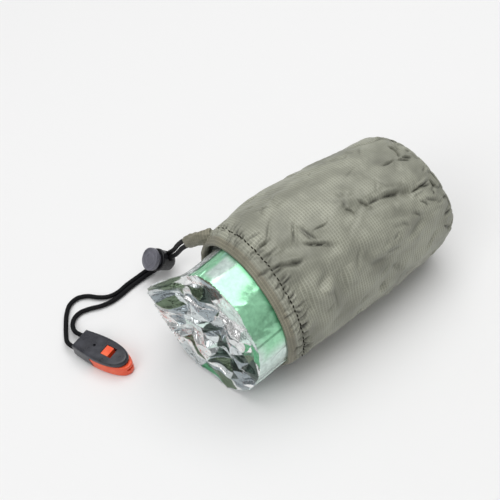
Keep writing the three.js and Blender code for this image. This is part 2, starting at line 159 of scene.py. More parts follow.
def column(rows: Sequence, name: str, x: np.ndarray) -> np.ndarray:
    """Reads a table's column at x, on a smooth curve through its rows.

    Args:
        rows: rows with an x column, in rising order.
        name: the column to read.
        x: the places to read it at.

    Returns:
        The column's value at each place.
    """
    xs = np.array([row.x for row in rows])
    values = np.array([getattr(row, name) for row in rows])
    place = np.arange(len(xs))
    before, after = np.maximum(place - 1, 0), np.minimum(place + 1, len(xs) - 1)
    slopes = (values[after] - values[before]) / (xs[after] - xs[before])
    x = np.clip(x, xs[0], xs[-1])
    i = np.clip(np.searchsorted(xs, x, side="right") - 1, 0, len(xs) - 2)
    span = xs[i + 1] - xs[i]
    t = (x - xs[i]) / span
    return (
        (2 * t**3 - 3 * t**2 + 1) * values[i]
        + (t**3 - 2 * t**2 + t) * span * slopes[i]
        + (3 * t**2 - 2 * t**3) * values[i + 1]
        + (t**3 - t**2) * span * slopes[i + 1]
    )


def smooth_step(low: float, high: float, value: np.ndarray) -> np.ndarray:
    """Rises from 0 at low to 1 at high."""
    t = np.clip((value - low) / (high - low), 0, 1)
    return t * t * (3 - 2 * t)


def unit(vectors: np.ndarray) -> np.ndarray:
    """The same directions, each with a length of 1."""
    return vectors / np.linalg.norm(vectors, axis=-1, keepdims=True)


def ring_angles(count: int) -> np.ndarray:
    """Even angles around a ring of so many points."""
    return np.linspace(0, TURN, count, endpoint=False)


def lengths_along(points: np.ndarray) -> np.ndarray:
    """How far along a line each of its points is."""
    return np.concatenate(((0,), np.cumsum(np.linalg.norm(np.diff(points, axis=0), axis=1))))


def curve_through(points: Sequence, spacing: float) -> np.ndarray:
    """Follows a centripetal curve through a route's points.

    Args:
        points: the route's points.
        spacing: the distance between the curve's own points.

    Returns:
        Points along the curve, evenly spaced, its two ends among them.
    """
    p = np.asarray(points, dtype=float)
    p = np.vstack((2 * p[0] - p[1], p, 2 * p[-1] - p[-2]))
    fine = [p[1]]
    for i in range(1, len(p) - 2):
        near = p[i - 1:i + 3]
        knots = np.concatenate(((0,), np.cumsum(np.linalg.norm(np.diff(near, axis=0), axis=1) ** 0.5)))
        for t in np.linspace(knots[1], knots[2], CURVE_STEPS)[1:]:
            level = list(near)
            for spans in CURVE_SPANS:
                shares = [(t - knots[low]) / (knots[high] - knots[low]) for low, high in spans]
                level = [(1 - share) * level[k] + share * level[k + 1] for k, share in enumerate(shares)]
            fine.append(level[0])
    fine = np.array(fine)
    length = lengths_along(fine)
    at = np.linspace(0, length[-1], max(2, round(length[-1] / spacing) + 1))
    return np.column_stack([np.interp(at, length, fine[:, k]) for k in range(3)])


def fill(tree: bpy.types.NodeTree, node: bpy.types.Node, inputs: dict) -> None:
    """Gives a node's inputs their values and links.

    Args:
        tree: the node's tree.
        node: the node.
        inputs: a value or another node's output for each input, by name or number.
    """
    for key, value in inputs.items():
        if isinstance(value, bpy.types.NodeSocket):
            tree.links.new(value, node.inputs[key])
        else:
            node.inputs[key].default_value = value


def add(
    tree: bpy.types.NodeTree, kind: str, inputs: Optional[dict] = None, **settings: object
) -> bpy.types.Node:
    """Adds one node with its settings, values and links.

    Args:
        tree: the tree that takes the node.
        kind: the node's type.
        inputs: a value or another node's output for each input, by name or number.
        settings: the node's own properties.

    Returns:
        The new node.
    """
    node = tree.nodes.new(kind)
    for name, value in settings.items():
        setattr(node, name, value)
    fill(tree, node, inputs or {})
    return node


def maths(tree: bpy.types.NodeTree, operation: str, *values: object) -> bpy.types.NodeSocket:
    """What the maths node makes of values and other nodes' outputs."""
    return add(tree, "ShaderNodeMath", dict(enumerate(values)), operation=operation).outputs[0]


def ranged(
    tree: bpy.types.NodeTree, value: bpy.types.NodeSocket, span: Pair, onto: Pair
) -> bpy.types.NodeSocket:
    """A value carried from one span onto another."""
    return add(tree, "ShaderNodeMapRange", dict(enumerate((value, *span, *onto)))).outputs[0]


def blended(
    tree: bpy.types.NodeTree, share: bpy.types.NodeSocket, colour: object, other: object
) -> bpy.types.NodeSocket:
    """A colour that turns into another one by a share."""
    return add(tree, "ShaderNodeMix", {0: share, 6: colour, 7: other}, data_type="RGBA").outputs[2]


def scaled(
    tree: bpy.types.NodeTree, colour: bpy.types.NodeSocket, share: bpy.types.NodeSocket
) -> bpy.types.NodeSocket:
    """A colour made lighter or darker by a share."""
    return add(tree, "ShaderNodeVectorMath", {0: colour, "Scale": share}, operation="SCALE").outputs[0]


def new_finish(name: str) -> tuple[bpy.types.Material, bpy.types.NodeTree, bpy.types.Node]:
    """Starts a material.

    Args:
        name: the real material's name.

    Returns:
        The material, its tree and its surface's shader.
    """
    material = bpy.data.materials.new(name)
    material.use_nodes = True
    return material, material.node_tree, material.node_tree.nodes["Principled BSDF"]


def in_scene(name: str, data: bpy.types.ID) -> bpy.types.Object:
    """Makes an object of its data and puts it in the scene.

    Args:
        name: the object's name.
        data: its mesh, light or camera.

    Returns:
        The object, at the origin.
    """
    obj = bpy.data.objects.new(name, data)
    bpy.context.scene.collection.objects.link(obj)
    return obj


def show(
    obj: bpy.types.Object, material: bpy.types.Material, body: str = BAG_BODY
) -> bpy.types.Object:
    """Dresses a finished piece and lets it ride on its body.

    Args:
        obj: the piece.
        material: its finish.
        body: the body it moves with.

    Returns:
        The same piece.
    """
    obj.data.materials.clear()
    obj.data.materials.append(material)
    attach(obj, body)
    log.info("%s: %d faces", obj.name, len(obj.data.polygons))
    return obj


class GridMesh:
    """A closed surface made of rings of points, each ring the same number of points around."""

    def __init__(self, name: str, rings: Sequence[np.ndarray], closes: bool = False) -> None:
        """Keeps the rings until they are made a mesh, and unrolls them on a flat map.

        Args:
            name: the piece's name.
            rings: points by ring and place around, in mm in the sack's own axes.
            closes: whether the last ring joins the first one.
        """
        self.name, self.rings, self.closes = name, np.asarray(rings, dtype=float), closes
        self.values: dict[str, np.ndarray] = {}
        sides = np.linalg.norm(self.rings - np.roll(self.rings, 1, axis=1), axis=2)
        steps = np.linalg.norm(np.diff(self.rings, axis=0), axis=2).mean(axis=1)
        self.unroll(sides.sum(axis=1).max(), np.append(0, np.cumsum(steps)), ring_angles(sides.shape[1]))

    def unroll(self, girth: float, along: np.ndarray, angles: np.ndarray) -> None:
        """Maps the surface on flat cloth that is wound around it.

        Args:
            girth: the way round each ring on the flat cloth, in mm.
            along: how far along the flat cloth each ring is, in mm.
            angles: where the points stand around.
        """
        turns = np.append(angles, angles[0] + TURN) / TURN
        self.flat = np.stack(np.broadcast_arrays(girth * turns[None], along[:, None]), -1)

    def map_end_on(self) -> None:
        """Maps the surface as it looks along X."""
        self.flat = np.concatenate((self.rings, self.rings[:, :1]), axis=1)[..., 1:]

    def build(self, sharp_deg: float = ALL_SMOOTH_DEG) -> bpy.types.Object:
        """Makes the mesh, its flat map in metres and its attributes.

        Args:
            sharp_deg: edges that bend more than this are shaded sharp.

        Returns:
            The object, at the origin.
        """
        count, around = self.rings.shape[:2]
        rows = count if self.closes else count - 1
        i, j = np.meshgrid(np.arange(rows), np.arange(around), indexing="ij")
        faces = [(i + down) % count * around + (j + right) % around for down, right in FACE_CORNERS]
        flat = [self.flat[(i + down) % count, j + right] for down, right in FACE_CORNERS]
        mesh = bpy.data.meshes.new(self.name)
        points = placed(self.rings.reshape(-1, 3))
        mesh.from_pydata(points.tolist(), [], np.stack(faces, -1).reshape(-1, 4).tolist())
        mesh.uv_layers.new(name="Cloth").data.foreach_set("uv", (np.stack(flat, 2) * MM).ravel())
        for name, value in self.values.items():
            kind, field = ("FLOAT_COLOR", "color") if value.ndim == 3 else ("FLOAT", "value")
            data = mesh.attributes.new(name, kind, "POINT").data
            data.foreach_set(field, value.astype(float).ravel())
        return finished(mesh, sharp_deg)


def capped(rings: np.ndarray, line: np.ndarray) -> np.ndarray:
    """A tube's rings, closed by the first and the last point of its line."""
    first, last = (np.repeat(line[k][None, None], rings.shape[1], axis=1) for k in (0, -1))
    return np.concatenate((first, rings, last))


def shade(mesh: bpy.types.Mesh, sharp_deg: float) -> None:
    """Shades a mesh smooth, but for its sharp edges.

    Args:
        mesh: the mesh.
        sharp_deg: edges that bend more than this are shaded sharp.
    """
    mesh.shade_smooth()
    if sharp_deg < ALL_SMOOTH_DEG:
        mesh.set_sharp_from_angle(angle=math.radians(sharp_deg))


def finished(mesh: bpy.types.Mesh, sharp_deg: float = ALL_SMOOTH_DEG) -> bpy.types.Object:
    """Merges a mesh's doubles, points its faces outwards and gives it an object.

    Args:
        mesh: the mesh.
        sharp_deg: edges that bend more than this are shaded sharp.

    Returns:
        The object, at the origin.
    """
    work = bmesh.new()
    work.from_mesh(mesh)
    bmesh.ops.remove_doubles(work, verts=work.verts, dist=SAME_PLACE)
    bmesh.ops.dissolve_degenerate(work, edges=work.edges, dist=NO_LENGTH)
    bmesh.ops.recalc_face_normals(work, faces=work.faces)
    work.to_mesh(mesh)
    work.free()
    shade(mesh, sharp_deg)
    return in_scene(mesh.name, mesh)


def bar(
    name: str, outline: np.ndarray, middle: Sequence[float], along: np.ndarray, low: float, high: float
) -> bpy.types.Object:
    """A straight solid with flat ends, to cut with.

    Args:
        name: the solid's name.
        outline: points around it, in mm in the sack's own axes.
        middle: the middle of the outline.
        along: the direction it runs in.
        low: where it starts, along that direction from the outline.
        high: where it ends.

    Returns:
        The solid.
    """
    centre = np.array(middle)
    ends = ((0, low), (1, low), (1, high), (0, high))
    return GridMesh(name, [centre + (outline - centre) * share + along * at for share, at in ends]).build()


def plain_mesh(obj: bpy.types.Object) -> bpy.types.Mesh:
    """The object's mesh with its modifiers applied, as a mesh of its own."""
    graph = bpy.context.evaluated_depsgraph_get()
    return bpy.data.meshes.new_from_object(
        obj.evaluated_get(graph), preserve_all_data_layers=True, depsgraph=graph
    )


def combine(
    obj: bpy.types.Object, other: bpy.types.Object, step: Step, sharp_deg: float = ALL_SMOOTH_DEG
) -> None:
    """Joins another solid to this one, or cuts it out, and drops the other.

    Args:
        obj: the solid that is kept.
        other: the solid that is used up.
        step: whether it is joined or cut.
        sharp_deg: edges that bend more than this are shaded sharp.
    """
    change = obj.modifiers.new("solid", "BOOLEAN")
    change.operation, change.solver, change.object = step.value, "MANIFOLD", other
    mesh, was = plain_mesh(obj), obj.data
    obj.modifiers.remove(change)
    mesh.name = was.name
    obj.data = mesh
    bpy.data.meshes.remove(was)
    bpy.data.objects.remove(other)
    shade(mesh, sharp_deg)


# Finishes

@dataclass(frozen=True)
class RipstopNylon:
    """Woven ripstop nylon: thin, slightly glossy cloth with a fine grid of thicker threads."""

    colour: str = "#929385"
    # painted shade: the colour that the cloth is darkened towards in the hollows of creases and crumples
    crease_shade_colour: str = "#2a2a23"
    hem_colour: str = "#7b7868"
    grid_mm: float = 1.7  # between the thicker threads
    thread_mm: float = 0.32  # between plain threads
    rumple_mm: float = 6.0  # between the smallest creases
    clouds_per_m: float = 55.0  # of the soft light and dark areas
    wave_step: float = TURN / 20  # the width of one band of the wave texture at a scale of 1
    roughness: float = 0.55
    sheen: float = 0.12

    def material(self) -> bpy.types.Material:
        """Woven polyamide, calendered: the eye sees a fine grid, soft puckers and a faint gloss.

        Returns:
            The material.
        """
        material, tree, surface = new_finish("ripstop_nylon_woven")
        flat = add(tree, "ShaderNodeUVMap", uv_map="Cloth").outputs["UV"]
        place = add(tree, "ShaderNodeTexCoord").outputs["Object"]
        # The crease attribute: how much painted shade each place gets in the hollows of creases and crumples
        crease = add(tree, "ShaderNodeAttribute", attribute_name="crease").outputs["Fac"]
        hem = add(tree, "ShaderNodeAttribute", attribute_name="hem").outputs["Fac"]
        # The thicker threads of the grid: those along the sack show less than those around it
        lines = []
        for direction, weight in (("X", 0.5), ("Y", 1.0)):
            wave = add(
                tree, "ShaderNodeTexWave", {"Vector": flat, "Scale": self.wave_step / (self.grid_mm * MM)},
                bands_direction=direction,
            ).outputs["Fac"]
            lines.append(maths(tree, "MULTIPLY", maths(tree, "POWER", wave, 5.0), weight))
        grid = maths(tree, "MAXIMUM", *lines)
        thread = add(
            tree, "ShaderNodeTexNoise", {"Vector": flat, "Scale": 1 / (self.thread_mm * MM)}
        ).outputs["Fac"]
        cloud = add(
            tree, "ShaderNodeTexNoise", {"Vector": place, "Scale": self.clouds_per_m, "Detail": 4.0}
        ).outputs["Fac"]
        rumple = add(
            tree, "ShaderNodeTexNoise",
            {"Vector": flat, "Scale": 1 / (self.rumple_mm * MM), "Detail": 3.0, "Distortion": 0.8},
        ).outputs["Fac"]
        # Light and dark: soft areas, the grid where it catches the light, and the plain threads
        lift = ranged(tree, cloud, (0.3, 0.7), (0.82, 1.14))
        patchy = ranged(tree, cloud, (0.35, 0.62), (0.25, 1.0))
        weave = ranged(tree, maths(tree, "MULTIPLY", grid, patchy), (0.0, 1.0), (0.91, 1.46))
        fine = ranged(tree, thread, (0.3, 0.7), (0.93, 1.07))
        tint = maths(tree, "MULTIPLY", maths(tree, "MULTIPLY", lift, weave), fine)
        base = blended(tree, hem, linear(self.colour), linear(self.hem_colour))
        height = maths(tree, "MULTIPLY_ADD", rumple, 7.0, maths(tree, "MULTIPLY_ADD", thread, 0.5, grid))
        bump = add(tree, "ShaderNodeBump", {"Strength": 0.5, "Distance": 0.12 * MM, "Height": height})
        fill(tree, surface, {
            "Base Color": blended(tree, crease, scaled(tree, base, tint), linear(self.crease_shade_colour)),
            "Normal": bump.outputs[0],
            "Roughness": self.roughness,
            "Sheen Weight": self.sheen,
            "Sheen Roughness": 0.4,
        })
        return material


@dataclass(frozen=True)
class MetallisedFilm:
    """Polyethylene film with a vacuum-laid aluminium face, printed green on its outside."""

    metallic: float = 0.85
    printed_metallic: float = 0.55
    roughness: float = 0.15
    coat: float = 0.5
    crinkle_mm: float = 4.5  # between the fine crinkles

    def material(self) -> bpy.types.Material:
        """Metallised polyethylene, blown and printed: the eye sees mirror facets, green or silver.

        Returns:
            The material.
        """
        material, tree, surface = new_finish("metallised_polyethylene_film")
        place = add(tree, "ShaderNodeTexCoord").outputs["Object"]
        tone = add(tree, "ShaderNodeAttribute", attribute_name="tone").outputs["Color"]
        bare = add(tree, "ShaderNodeAttribute", attribute_name="bare").outputs["Fac"]
        cell = add(
            tree, "ShaderNodeTexVoronoi", {"Vector": place, "Scale": 1 / (self.crinkle_mm * MM)},
            feature="DISTANCE_TO_EDGE",
        ).outputs["Distance"]
        fine = add(
            tree, "ShaderNodeTexNoise",
            {"Vector": place, "Scale": 1.6 / (self.crinkle_mm * MM), "Detail": 3.0, "Distortion": 0.6},
        ).outputs["Fac"]
        # Fine crinkles: ridges between cells over soft waves, stronger where the metal is bare
        height = maths(tree, "MULTIPLY_ADD", fine, 5.0, ranged(tree, cell, (0.0, 0.09), (1.0, 0.0)))
        dent = ranged(tree, bare, (0.0, 1.0), (0.04, 0.3))
        bump = add(tree, "ShaderNodeBump", {"Strength": dent, "Distance": 0.3 * MM, "Height": height})
        # The base colour is the tone attribute: print and bare metal, with painted reflections and painted
        # shade
        fill(tree, surface, {
            "Base Color": scaled(tree, tone, ranged(tree, fine, (0.25, 0.75), (0.8, 1.15))),
            "Normal": bump.outputs[0],
            "Metallic": ranged(tree, bare, (0.0, 1.0), (self.printed_metallic, self.metallic)),
            "Roughness": ranged(tree, fine, (0.3, 0.8), (self.roughness - 0.05, self.roughness + 0.12)),
            "Coat Weight": self.coat,
            "Coat Roughness": 0.06,
        })
        return material


@dataclass(frozen=True)
class BraidedPolyester:
    """Black braided polyester yarn, for the drawcord, and the sack's sewing thread in its own colour."""

    name: str
    colour: str
    highlight: str
    strand_mm: float
    roughness: float = 0.7
    gloss: float = 0.2

    def material(self) -> bpy.types.Material:
        """Braided or twisted polyester yarn: the eye sees dull yarns with a soft gloss on their crowns.

        Returns:
            The material.
        """
        material, tree, surface = new_finish(self.name)
        place = add(tree, "ShaderNodeTexCoord").outputs["Object"]
        crown = add(tree, "ShaderNodeAttribute", attribute_name="crown").outputs["Fac"]
        fibre = add(
            tree, "ShaderNodeTexNoise", {"Vector": place, "Scale": 1 / (self.strand_mm * MM), "Detail": 3.0}
        ).outputs["Fac"]
        mixed = maths(tree, "MULTIPLY", crown, fibre)
        bump = add(tree, "ShaderNodeBump", {"Strength": 0.3, "Distance": 0.08 * MM, "Height": fibre})
        fill(tree, surface, {
            "Base Color": blended(tree, mixed, linear(self.colour), linear(self.highlight)),
            "Normal": bump.outputs[0],
            "Roughness": self.roughness,
            "Specular IOR Level": self.gloss,
        })
        return material


@dataclass(frozen=True)
class MouldedPlastic:
    """Injection-moulded plastic with a spark-eroded grain."""

    name: str
    colour: str
    rubbed: str
    roughness: float
    grain_mm: float = 0.35
    grain: float = 0.25
    marks_per_m: float = 160.0
    coat: float = 0.0

    def material(self) -> bpy.types.Material:
        """Moulded plastic: the eye sees a fine even grain, soft gloss and faint rubbed marks.

        Returns:
            The material.
        """
        material, tree, surface = new_finish(self.name)
        place = add(tree, "ShaderNodeTexCoord").outputs["Object"]
        grain = add(
            tree, "ShaderNodeTexNoise", {"Vector": place, "Scale": 1 / (self.grain_mm * MM), "Detail": 2.0}
        ).outputs["Fac"]
        marks = add(
            tree, "ShaderNodeTexNoise", {"Vector": place, "Scale": self.marks_per_m, "Detail": 5.0}
        ).outputs["Fac"]
        worn = ranged(tree, marks, (0.48, 0.75), (0.0, 0.7))
        bump = add(tree, "ShaderNodeBump", {"Strength": self.grain, "Distance": 0.05 * MM, "Height": grain})
        fill(tree, surface, {
            "Base Color": blended(tree, worn, linear(self.colour), linear(self.rubbed)),
            "Normal": bump.outputs[0],
            "Roughness": ranged(tree, marks, (0.3, 0.7), (self.roughness - 0.06, self.roughness + 0.08)),
            "Coat Weight": self.coat,
        })
        return material


# Stitches

class StitchRow:
    """A row of sewn stitches along a line, made by one Geometry Nodes tree."""

    def __init__(self, pitch: float, length: float, thickness: float, thread: bpy.types.Material) -> None:
        """Builds the tree.

        Args:
            pitch: between stitches, in mm.
            length: of the thread that shows in one stitch, in mm.
            thickness: of the thread, in mm.
            thread: the thread's finish.
        """
        self.sizes = {"Pitch": pitch * MM, "Length": length * MM, "Thickness": thickness * MM}
        self.thread = thread
        self.tree = bpy.data.node_groups.new("stitches", "GeometryNodeTree")
        face = self.tree.interface
        face.new_socket("Geometry", in_out="INPUT", socket_type="NodeSocketGeometry")
        for name in self.sizes:
            face.new_socket(name, in_out="INPUT", socket_type="NodeSocketFloat")
        face.new_socket("Thread", in_out="INPUT", socket_type="NodeSocketMaterial")
        face.new_socket("Geometry", in_out="OUTPUT", socket_type="NodeSocketGeometry")
        tree = self.tree
        given = add(tree, "NodeGroupInput").outputs
        line = add(tree, "GeometryNodeMeshToCurve", {"Mesh": given["Geometry"]}).outputs["Curve"]
        spots = add(
            tree, "GeometryNodeCurveToPoints", {"Curve": line, "Length": given["Pitch"]}, mode="LENGTH"
        ).outputs
        ball = add(tree, "GeometryNodeMeshUVSphere", {"Segments": 8, "Rings": 6, "Radius": 0.5}).outputs[0]
        jitter = add(
            tree, "FunctionNodeRandomValue", {0: (0.88, 0.88, 0.86), 1: (1.1, 1.1, 1.06), "Seed": 7},
            data_type="FLOAT_VECTOR",
        ).outputs[0]
        thick, long = given["Thickness"], given["Length"]
        size = add(tree, "ShaderNodeCombineXYZ", {0: thick, 1: thick, 2: long}).outputs[0]
        size = add(tree, "ShaderNodeVectorMath", {0: size, 1: jitter}, operation="MULTIPLY").outputs[0]
        sewn = add(tree, "GeometryNodeInstanceOnPoints", {
            "Points": spots["Points"], "Instance": ball, "Rotation": spots["Rotation"], "Scale": size,
        }).outputs["Instances"]
        real = add(tree, "GeometryNodeRealizeInstances", {"Geometry": sewn}).outputs[0]
        smooth = add(tree, "GeometryNodeSetShadeSmooth", {"Geometry": real}).outputs[0]
        dressed = add(tree, "GeometryNodeSetMaterial", {"Geometry": smooth, "Material": given["Thread"]})
        add(tree, "NodeGroupOutput", {0: dressed.outputs[0]})

    def sew(self, name: str, line: np.ndarray) -> bpy.types.Object:
        """Sews stitches along a closed line.

        Args:
            name: the piece's name.
            line: the line's points, in mm in the sack's own axes.

        Returns:
            The stitches as one plain mesh.
        """
        mesh = bpy.data.meshes.new(name)
        count = len(line)
        mesh.from_pydata(placed(line).tolist(), [(i, (i + 1) % count) for i in range(count)], [])
        obj = in_scene(name, mesh)
        sewing = obj.modifiers.new("stitches", "NODES")
        sewing.node_group = self.tree
        sockets = self.tree.interface.items_tree
        named = {item.name: item.identifier for item in sockets if item.in_out == "INPUT"}
        for key, value in self.sizes.items():
            sewing[named[key]] = value
        sewing[named["Thread"]] = self.thread
        made = plain_mesh(obj)
        obj.modifiers.remove(sewing)
        obj.data = made
        made.name = name
        bpy.data.meshes.remove(mesh)
        return obj


# The stuff sack

class Crumple:
    """Small irregular folds over a rolled surface, as one map that repeats around it."""

    band: float = 0.4  # how far the folds of one kind differ in size
    usual: float = 0.8  # the mean distance of the noise from zero

    def __init__(
        self, seed: int, length: float, girth: float, folds: Sequence[Triple], creased: bool
    ) -> None:
        """Draws the map.

        Args:
            seed: of the random pattern.
            length: of the surface, in mm.
            girth: the way round it, in mm.
            folds: the size of each kind of fold, how much longer it is than wide, and its depth, in mm.
            creased: whether the hollows are sharp.
        """
        rng = np.random.default_rng(seed)
        self.length, rows, columns = length, 256, 512
        down = np.fft.fftfreq(rows, length / rows)[:, None]
        right = np.fft.fftfreq(columns, girth / columns)[None]
        self.map = np.zeros((rows, columns))
        for size, longer, depth in folds:
            frequency = np.hypot(down * longer, right) * size
            kept = np.exp(-(((frequency - 1) / self.band) ** 2))
            noise = np.fft.ifft2(np.fft.fft2(rng.normal(size=(rows, columns))) * kept).real
            noise /= noise.std()
            self.map += depth * (np.abs(noise) - self.usual if creased else noise)

    def at(self, x: np.ndarray, angle: np.ndarray) -> np.ndarray:
        """Reads the map.

        Args:
            x: places along the surface, in mm.
            angle: places around it.

        Returns:
            The fold's height at each place, in mm.
        """
        rows, columns = self.map.shape
        down, right = x / self.length % 1 * rows, angle / TURN % 1 * columns
        i, j = np.floor(down).astype(int), np.floor(right).astype(int)
        u, v = down - i, right - j
        corner = [self.map[(i + a) % rows, (j + b) % columns] for a, b in ((0, 0), (0, 1), (1, 0), (1, 1))]
        return (corner[0] * (1 - v) + corner[1] * v) * (1 - u) + (corner[2] * (1 - v) + corner[3] * v) * u


@dataclass
class StuffSack:
    """The ripstop stuff sack: its body with the drawcord hem and beak, its base panel and its stitches."""

    cloth: float = 1.2
    gap: float = 0.3
    around: int = 368
    dense_by: float = 0.4  # how much closer the points stand on the side that is seen
    dense_at_deg: float = 128.0
    row_step: float = 0.63
    usual_radius: float = 44.0
    map_length: float = 160.0  # of the map of small folds
    grid_girth: float = 285.0  # the way round the flat cloth that the woven grid is laid out by
    base_seam_x: float = 68.0
    base_dome: float = 6.5
    base_creases: int = 16
    base_edge_from: float = 0.96  # where the panel starts to turn in to its seam, as a share of its radius
    base_edge_depth: float = 1.1
    lean_by: float = 5.0
    lean_from_x: float = 16.0
    underside_deg: float = 270.0
    stitch_x: float = -57.6
    stitch_pitch: float = 3.3
    stitch_length: float = 2.5
    stitch_width: float = 0.8
    stitch_out: float = -0.1
    stitch_groove: float = 0.7
    lip_x: float = -62.7
    lip_groove: float = 0.55
    groove_width: float = 0.9
    gathers: int = 100
    gather_width: float = 0.85
    seam_puckers: int = 46
    loose_creases: int = 110
    crease_depth: float = 1.3
    beak_gather: float = 0.09
    pocket_sharp_deg: float = 60.0
    seed: int = 11
    crumple: tuple[Triple, ...] = ((30, 1.5, 0.3), (12, 1.3, 0.19))
    creped: tuple[Triple, ...] = ((9, 0.9, 0.1),)

    sections: tuple[Section, ...] = (
        Section(-66, 42.2, 0, 41.3), Section(-58, 44.4, 0.6, 43.4), Section(-42, 46.0, 1.4, 44.4),
        Section(-20, 46.3, 2, 44.8), Section(4, 46.0, 2, 44.6), Section(28, 44.7, 2.2, 43.8),
        Section(48, 42.8, 2.6, 42.8), Section(60, 41.2, 2.8, 42.4), Section(68, 38.2, 3, 42.4),
    )
    hem: tuple[ProfilePoint, ...] = (
        ProfilePoint(-57.0, -0.35), ProfilePoint(-58.2, -0.15), ProfilePoint(-60.5, 0.5),
        ProfilePoint(-64, 0.9), ProfilePoint(-66.4, 0.2), ProfilePoint(-67.3, -1.1),
        ProfilePoint(-66.4, -2.4), ProfilePoint(-63.5, -2.8), ProfilePoint(-59.5, -1.9),
        ProfilePoint(-56.5, -1.3),
    )
    # Broad folds, the same as the solid's
    folds: tuple[Crease, ...] = (
        Crease(3, 118, 33, 127, 4.5, -1.8), Crease(33, 127, 62, 135, 5, -1.6),
        Crease(0, 110, 50, 121, 6, 1.1), Crease(-44, 115, -22, 133, 4.5, -1.4),
        Crease(-30, 101, -40, 116, 4.5, -1.0), Crease(-50, 140, -46, 168, 6, -1.8),
        Crease(-28, 152, -22, 172, 7, -1.6), Crease(-38, 148, -34, 172, 5, 1.2),
        Crease(-50, 127, 24, 152, 8, 0.9), Crease(2, 184, 40, 160, 6, -1.3),
        Crease(30, 178, 62, 168, 5, -1.2), Crease(-52, 40, -10, 22, 6, -1.5),
        Crease(-4, 48, 44, 30, 7, -1.3), Crease(-30, 2, 26, -14, 7, -1.4),
    )
    # Narrow, sharp creases, where they show on the real cloth
    creases: tuple[Crease, ...] = (
        Crease(11.8, 121, 22.1, 122, 0.99, 0.9), Crease(21.5, 122, 37, 126, 1.14, 1.6),
        Crease(37, 126, 43, 134, 2.76, 1.44), Crease(-0.7, 114, 2.1, 123, 0.68, 1.2),
        Crease(8.7, 114, 13.2, 127, 0.68, 1.2), Crease(2.5, 101, 1.5, 108, 2.3, 1.12),
        Crease(1.5, 108, -1.3, 115, 1.37, 0.8), Crease(58.3, 83, 54.8, 103, 0.68, 1.3),
        Crease(54.8, 103, 62.4, 107, 0.68, 1.2), Crease(38, 100, 50.3, 102, 0.68, 0.8),
        Crease(50.3, 102, 59.7, 109, 0.68, 0.9), Crease(49.2, 131, 61.4, 131, 0.84, 1.1),
        Crease(43.4, 132, 52.9, 131, 0.84, 1), Crease(52.9, 131, 60.5, 135, 0.84, 0.9),
        Crease(62.7, 130, 64.2, 142, 0.68, 1), Crease(61, 139, 58.2, 144, 0.68, 0.9),
        Crease(45.8, 140, 50.5, 148, 0.84, 0.8), Crease(37.5, 145, 41.6, 152, 1.14, 0.8),
        Crease(48.1, 141, 60.7, 150, 1.14, 0.7), Crease(57, 174, 62, 181, 0.84, 0.9),
        Crease(-30.8, 105, -26.7, 124, 0.68, 1), Crease(-34.5, 119, -21.1, 131, 0.84, 1.2),
        Crease(-47.4, 124, -40.7, 129, 1.14, 1.4), Crease(-25.8, 116, -15.1, 117, 0.61, 0.6),
        Crease(-29.3, 100, -39.8, 116, 0.68, 0.8), Crease(-38.8, 88, -53.7, 105, 0.68, 0.6),
        Crease(-31.1, 107, -29.2, 124, 0.68, 0.7), Crease(-54.3, 120, -42.7, 130, 1.37, 1),
        Crease(-24.1, 149, -23.9, 168, 2.99, 1.76), Crease(-50.8, 140, -47.7, 165, 2.99, 1.76),
        Crease(-13.7, 140, -0.3, 155, 5.17, 1.6), Crease(-0.7, 190, 6.2, 186, 2.53, 1.28),
        Crease(11.1, 173, 20.3, 187, 2.53, 1.28), Crease(-42, 150, -30, 146, 2.76, 1.6),
        Crease(-6, 158, 12, 166, 2.76, 1.12), Crease(24, 160, 44, 154, 2.53, 1.28),
    )
    beak_route: tuple[Triple, ...] = (
        (-60.9, 31.9, 71.3), (-64.4, 35.2, 69.8), (-66.8, 40, 66.6), (-68.8, 45.3, 62.7), (-69.8, 48.8, 59.4),
    )
    beak_across: Triple = (-0.143, 0.76, 0.634)
    beak_half_width: Pair = (4.5, 3.9)  # at its root and its tip
    beak_half_height: Pair = (3.0, 2.5)
    pocket_depth: float = 5.2
    pocket_wall: float = 0.6

    def angles(self) -> np.ndarray:
        """Where the cloth's points stand around it, closest on the side that is seen."""
        even = np.linspace(0, TURN, self.around, endpoint=False)
        return even - self.dense_by * np.sin(even - math.radians(self.dense_at_deg))

    def all_creases(self) -> list[Crease]:
        """The charted creases with the hem's gathers, the seam's puckers and loose creases between.

        Returns:
            One row for each crease.
        """
        rng = np.random.default_rng(self.seed)
        made = list(self.creases)
        row, width = self.stitch_x, self.gather_width
        for i in range(self.gathers):
            deg = (i + rng.uniform(-0.35, 0.35)) * 360 / self.gathers - 90
            reach, turn, depth = rng.uniform(2, 11), rng.uniform(-4, 4), rng.uniform(0.35, 1.1)
            made.append(Crease(row - 1, deg, row + reach, deg + turn, width, depth))
            made.append(Crease(row, deg, row - rng.uniform(2, 9), deg - turn, width, depth * 0.7))
        for i in range(self.seam_puckers):
            deg = (i + rng.uniform(-0.4, 0.4)) * 360 / self.seam_puckers - 90
            reach, turn, depth = rng.uniform(3, 12), rng.uniform(-7, 7), rng.uniform(0.3, 1.0)
            made.append(Crease(self.base_seam_x, deg, self.base_seam_x - reach, deg + turn, 1.0, depth))
        for _ in range(self.loose_creases):
            x, deg = rng.uniform(-50, 60), rng.uniform(-90, 270)
            reach, slant = rng.uniform(5, 18), rng.normal(0, 0.8)
            to_deg = deg + math.degrees(reach * math.sin(slant) / self.usual_radius)
            width, depth = rng.uniform(0.8, 1.8), rng.uniform(0.15, 0.55)
            made.append(Crease(x, deg, x + reach * math.cos(slant), to_deg, width, depth))
        return made

    def lean(self, x: np.ndarray, angle: np.ndarray) -> np.ndarray:
        """How far a place is drawn back along X, because the base leans."""
        share = np.clip((x - self.lean_from_x) / (self.base_seam_x - self.lean_from_x), 0, 1)
        return -self.lean_by * share**2 * np.maximum(np.sin(angle), 0)

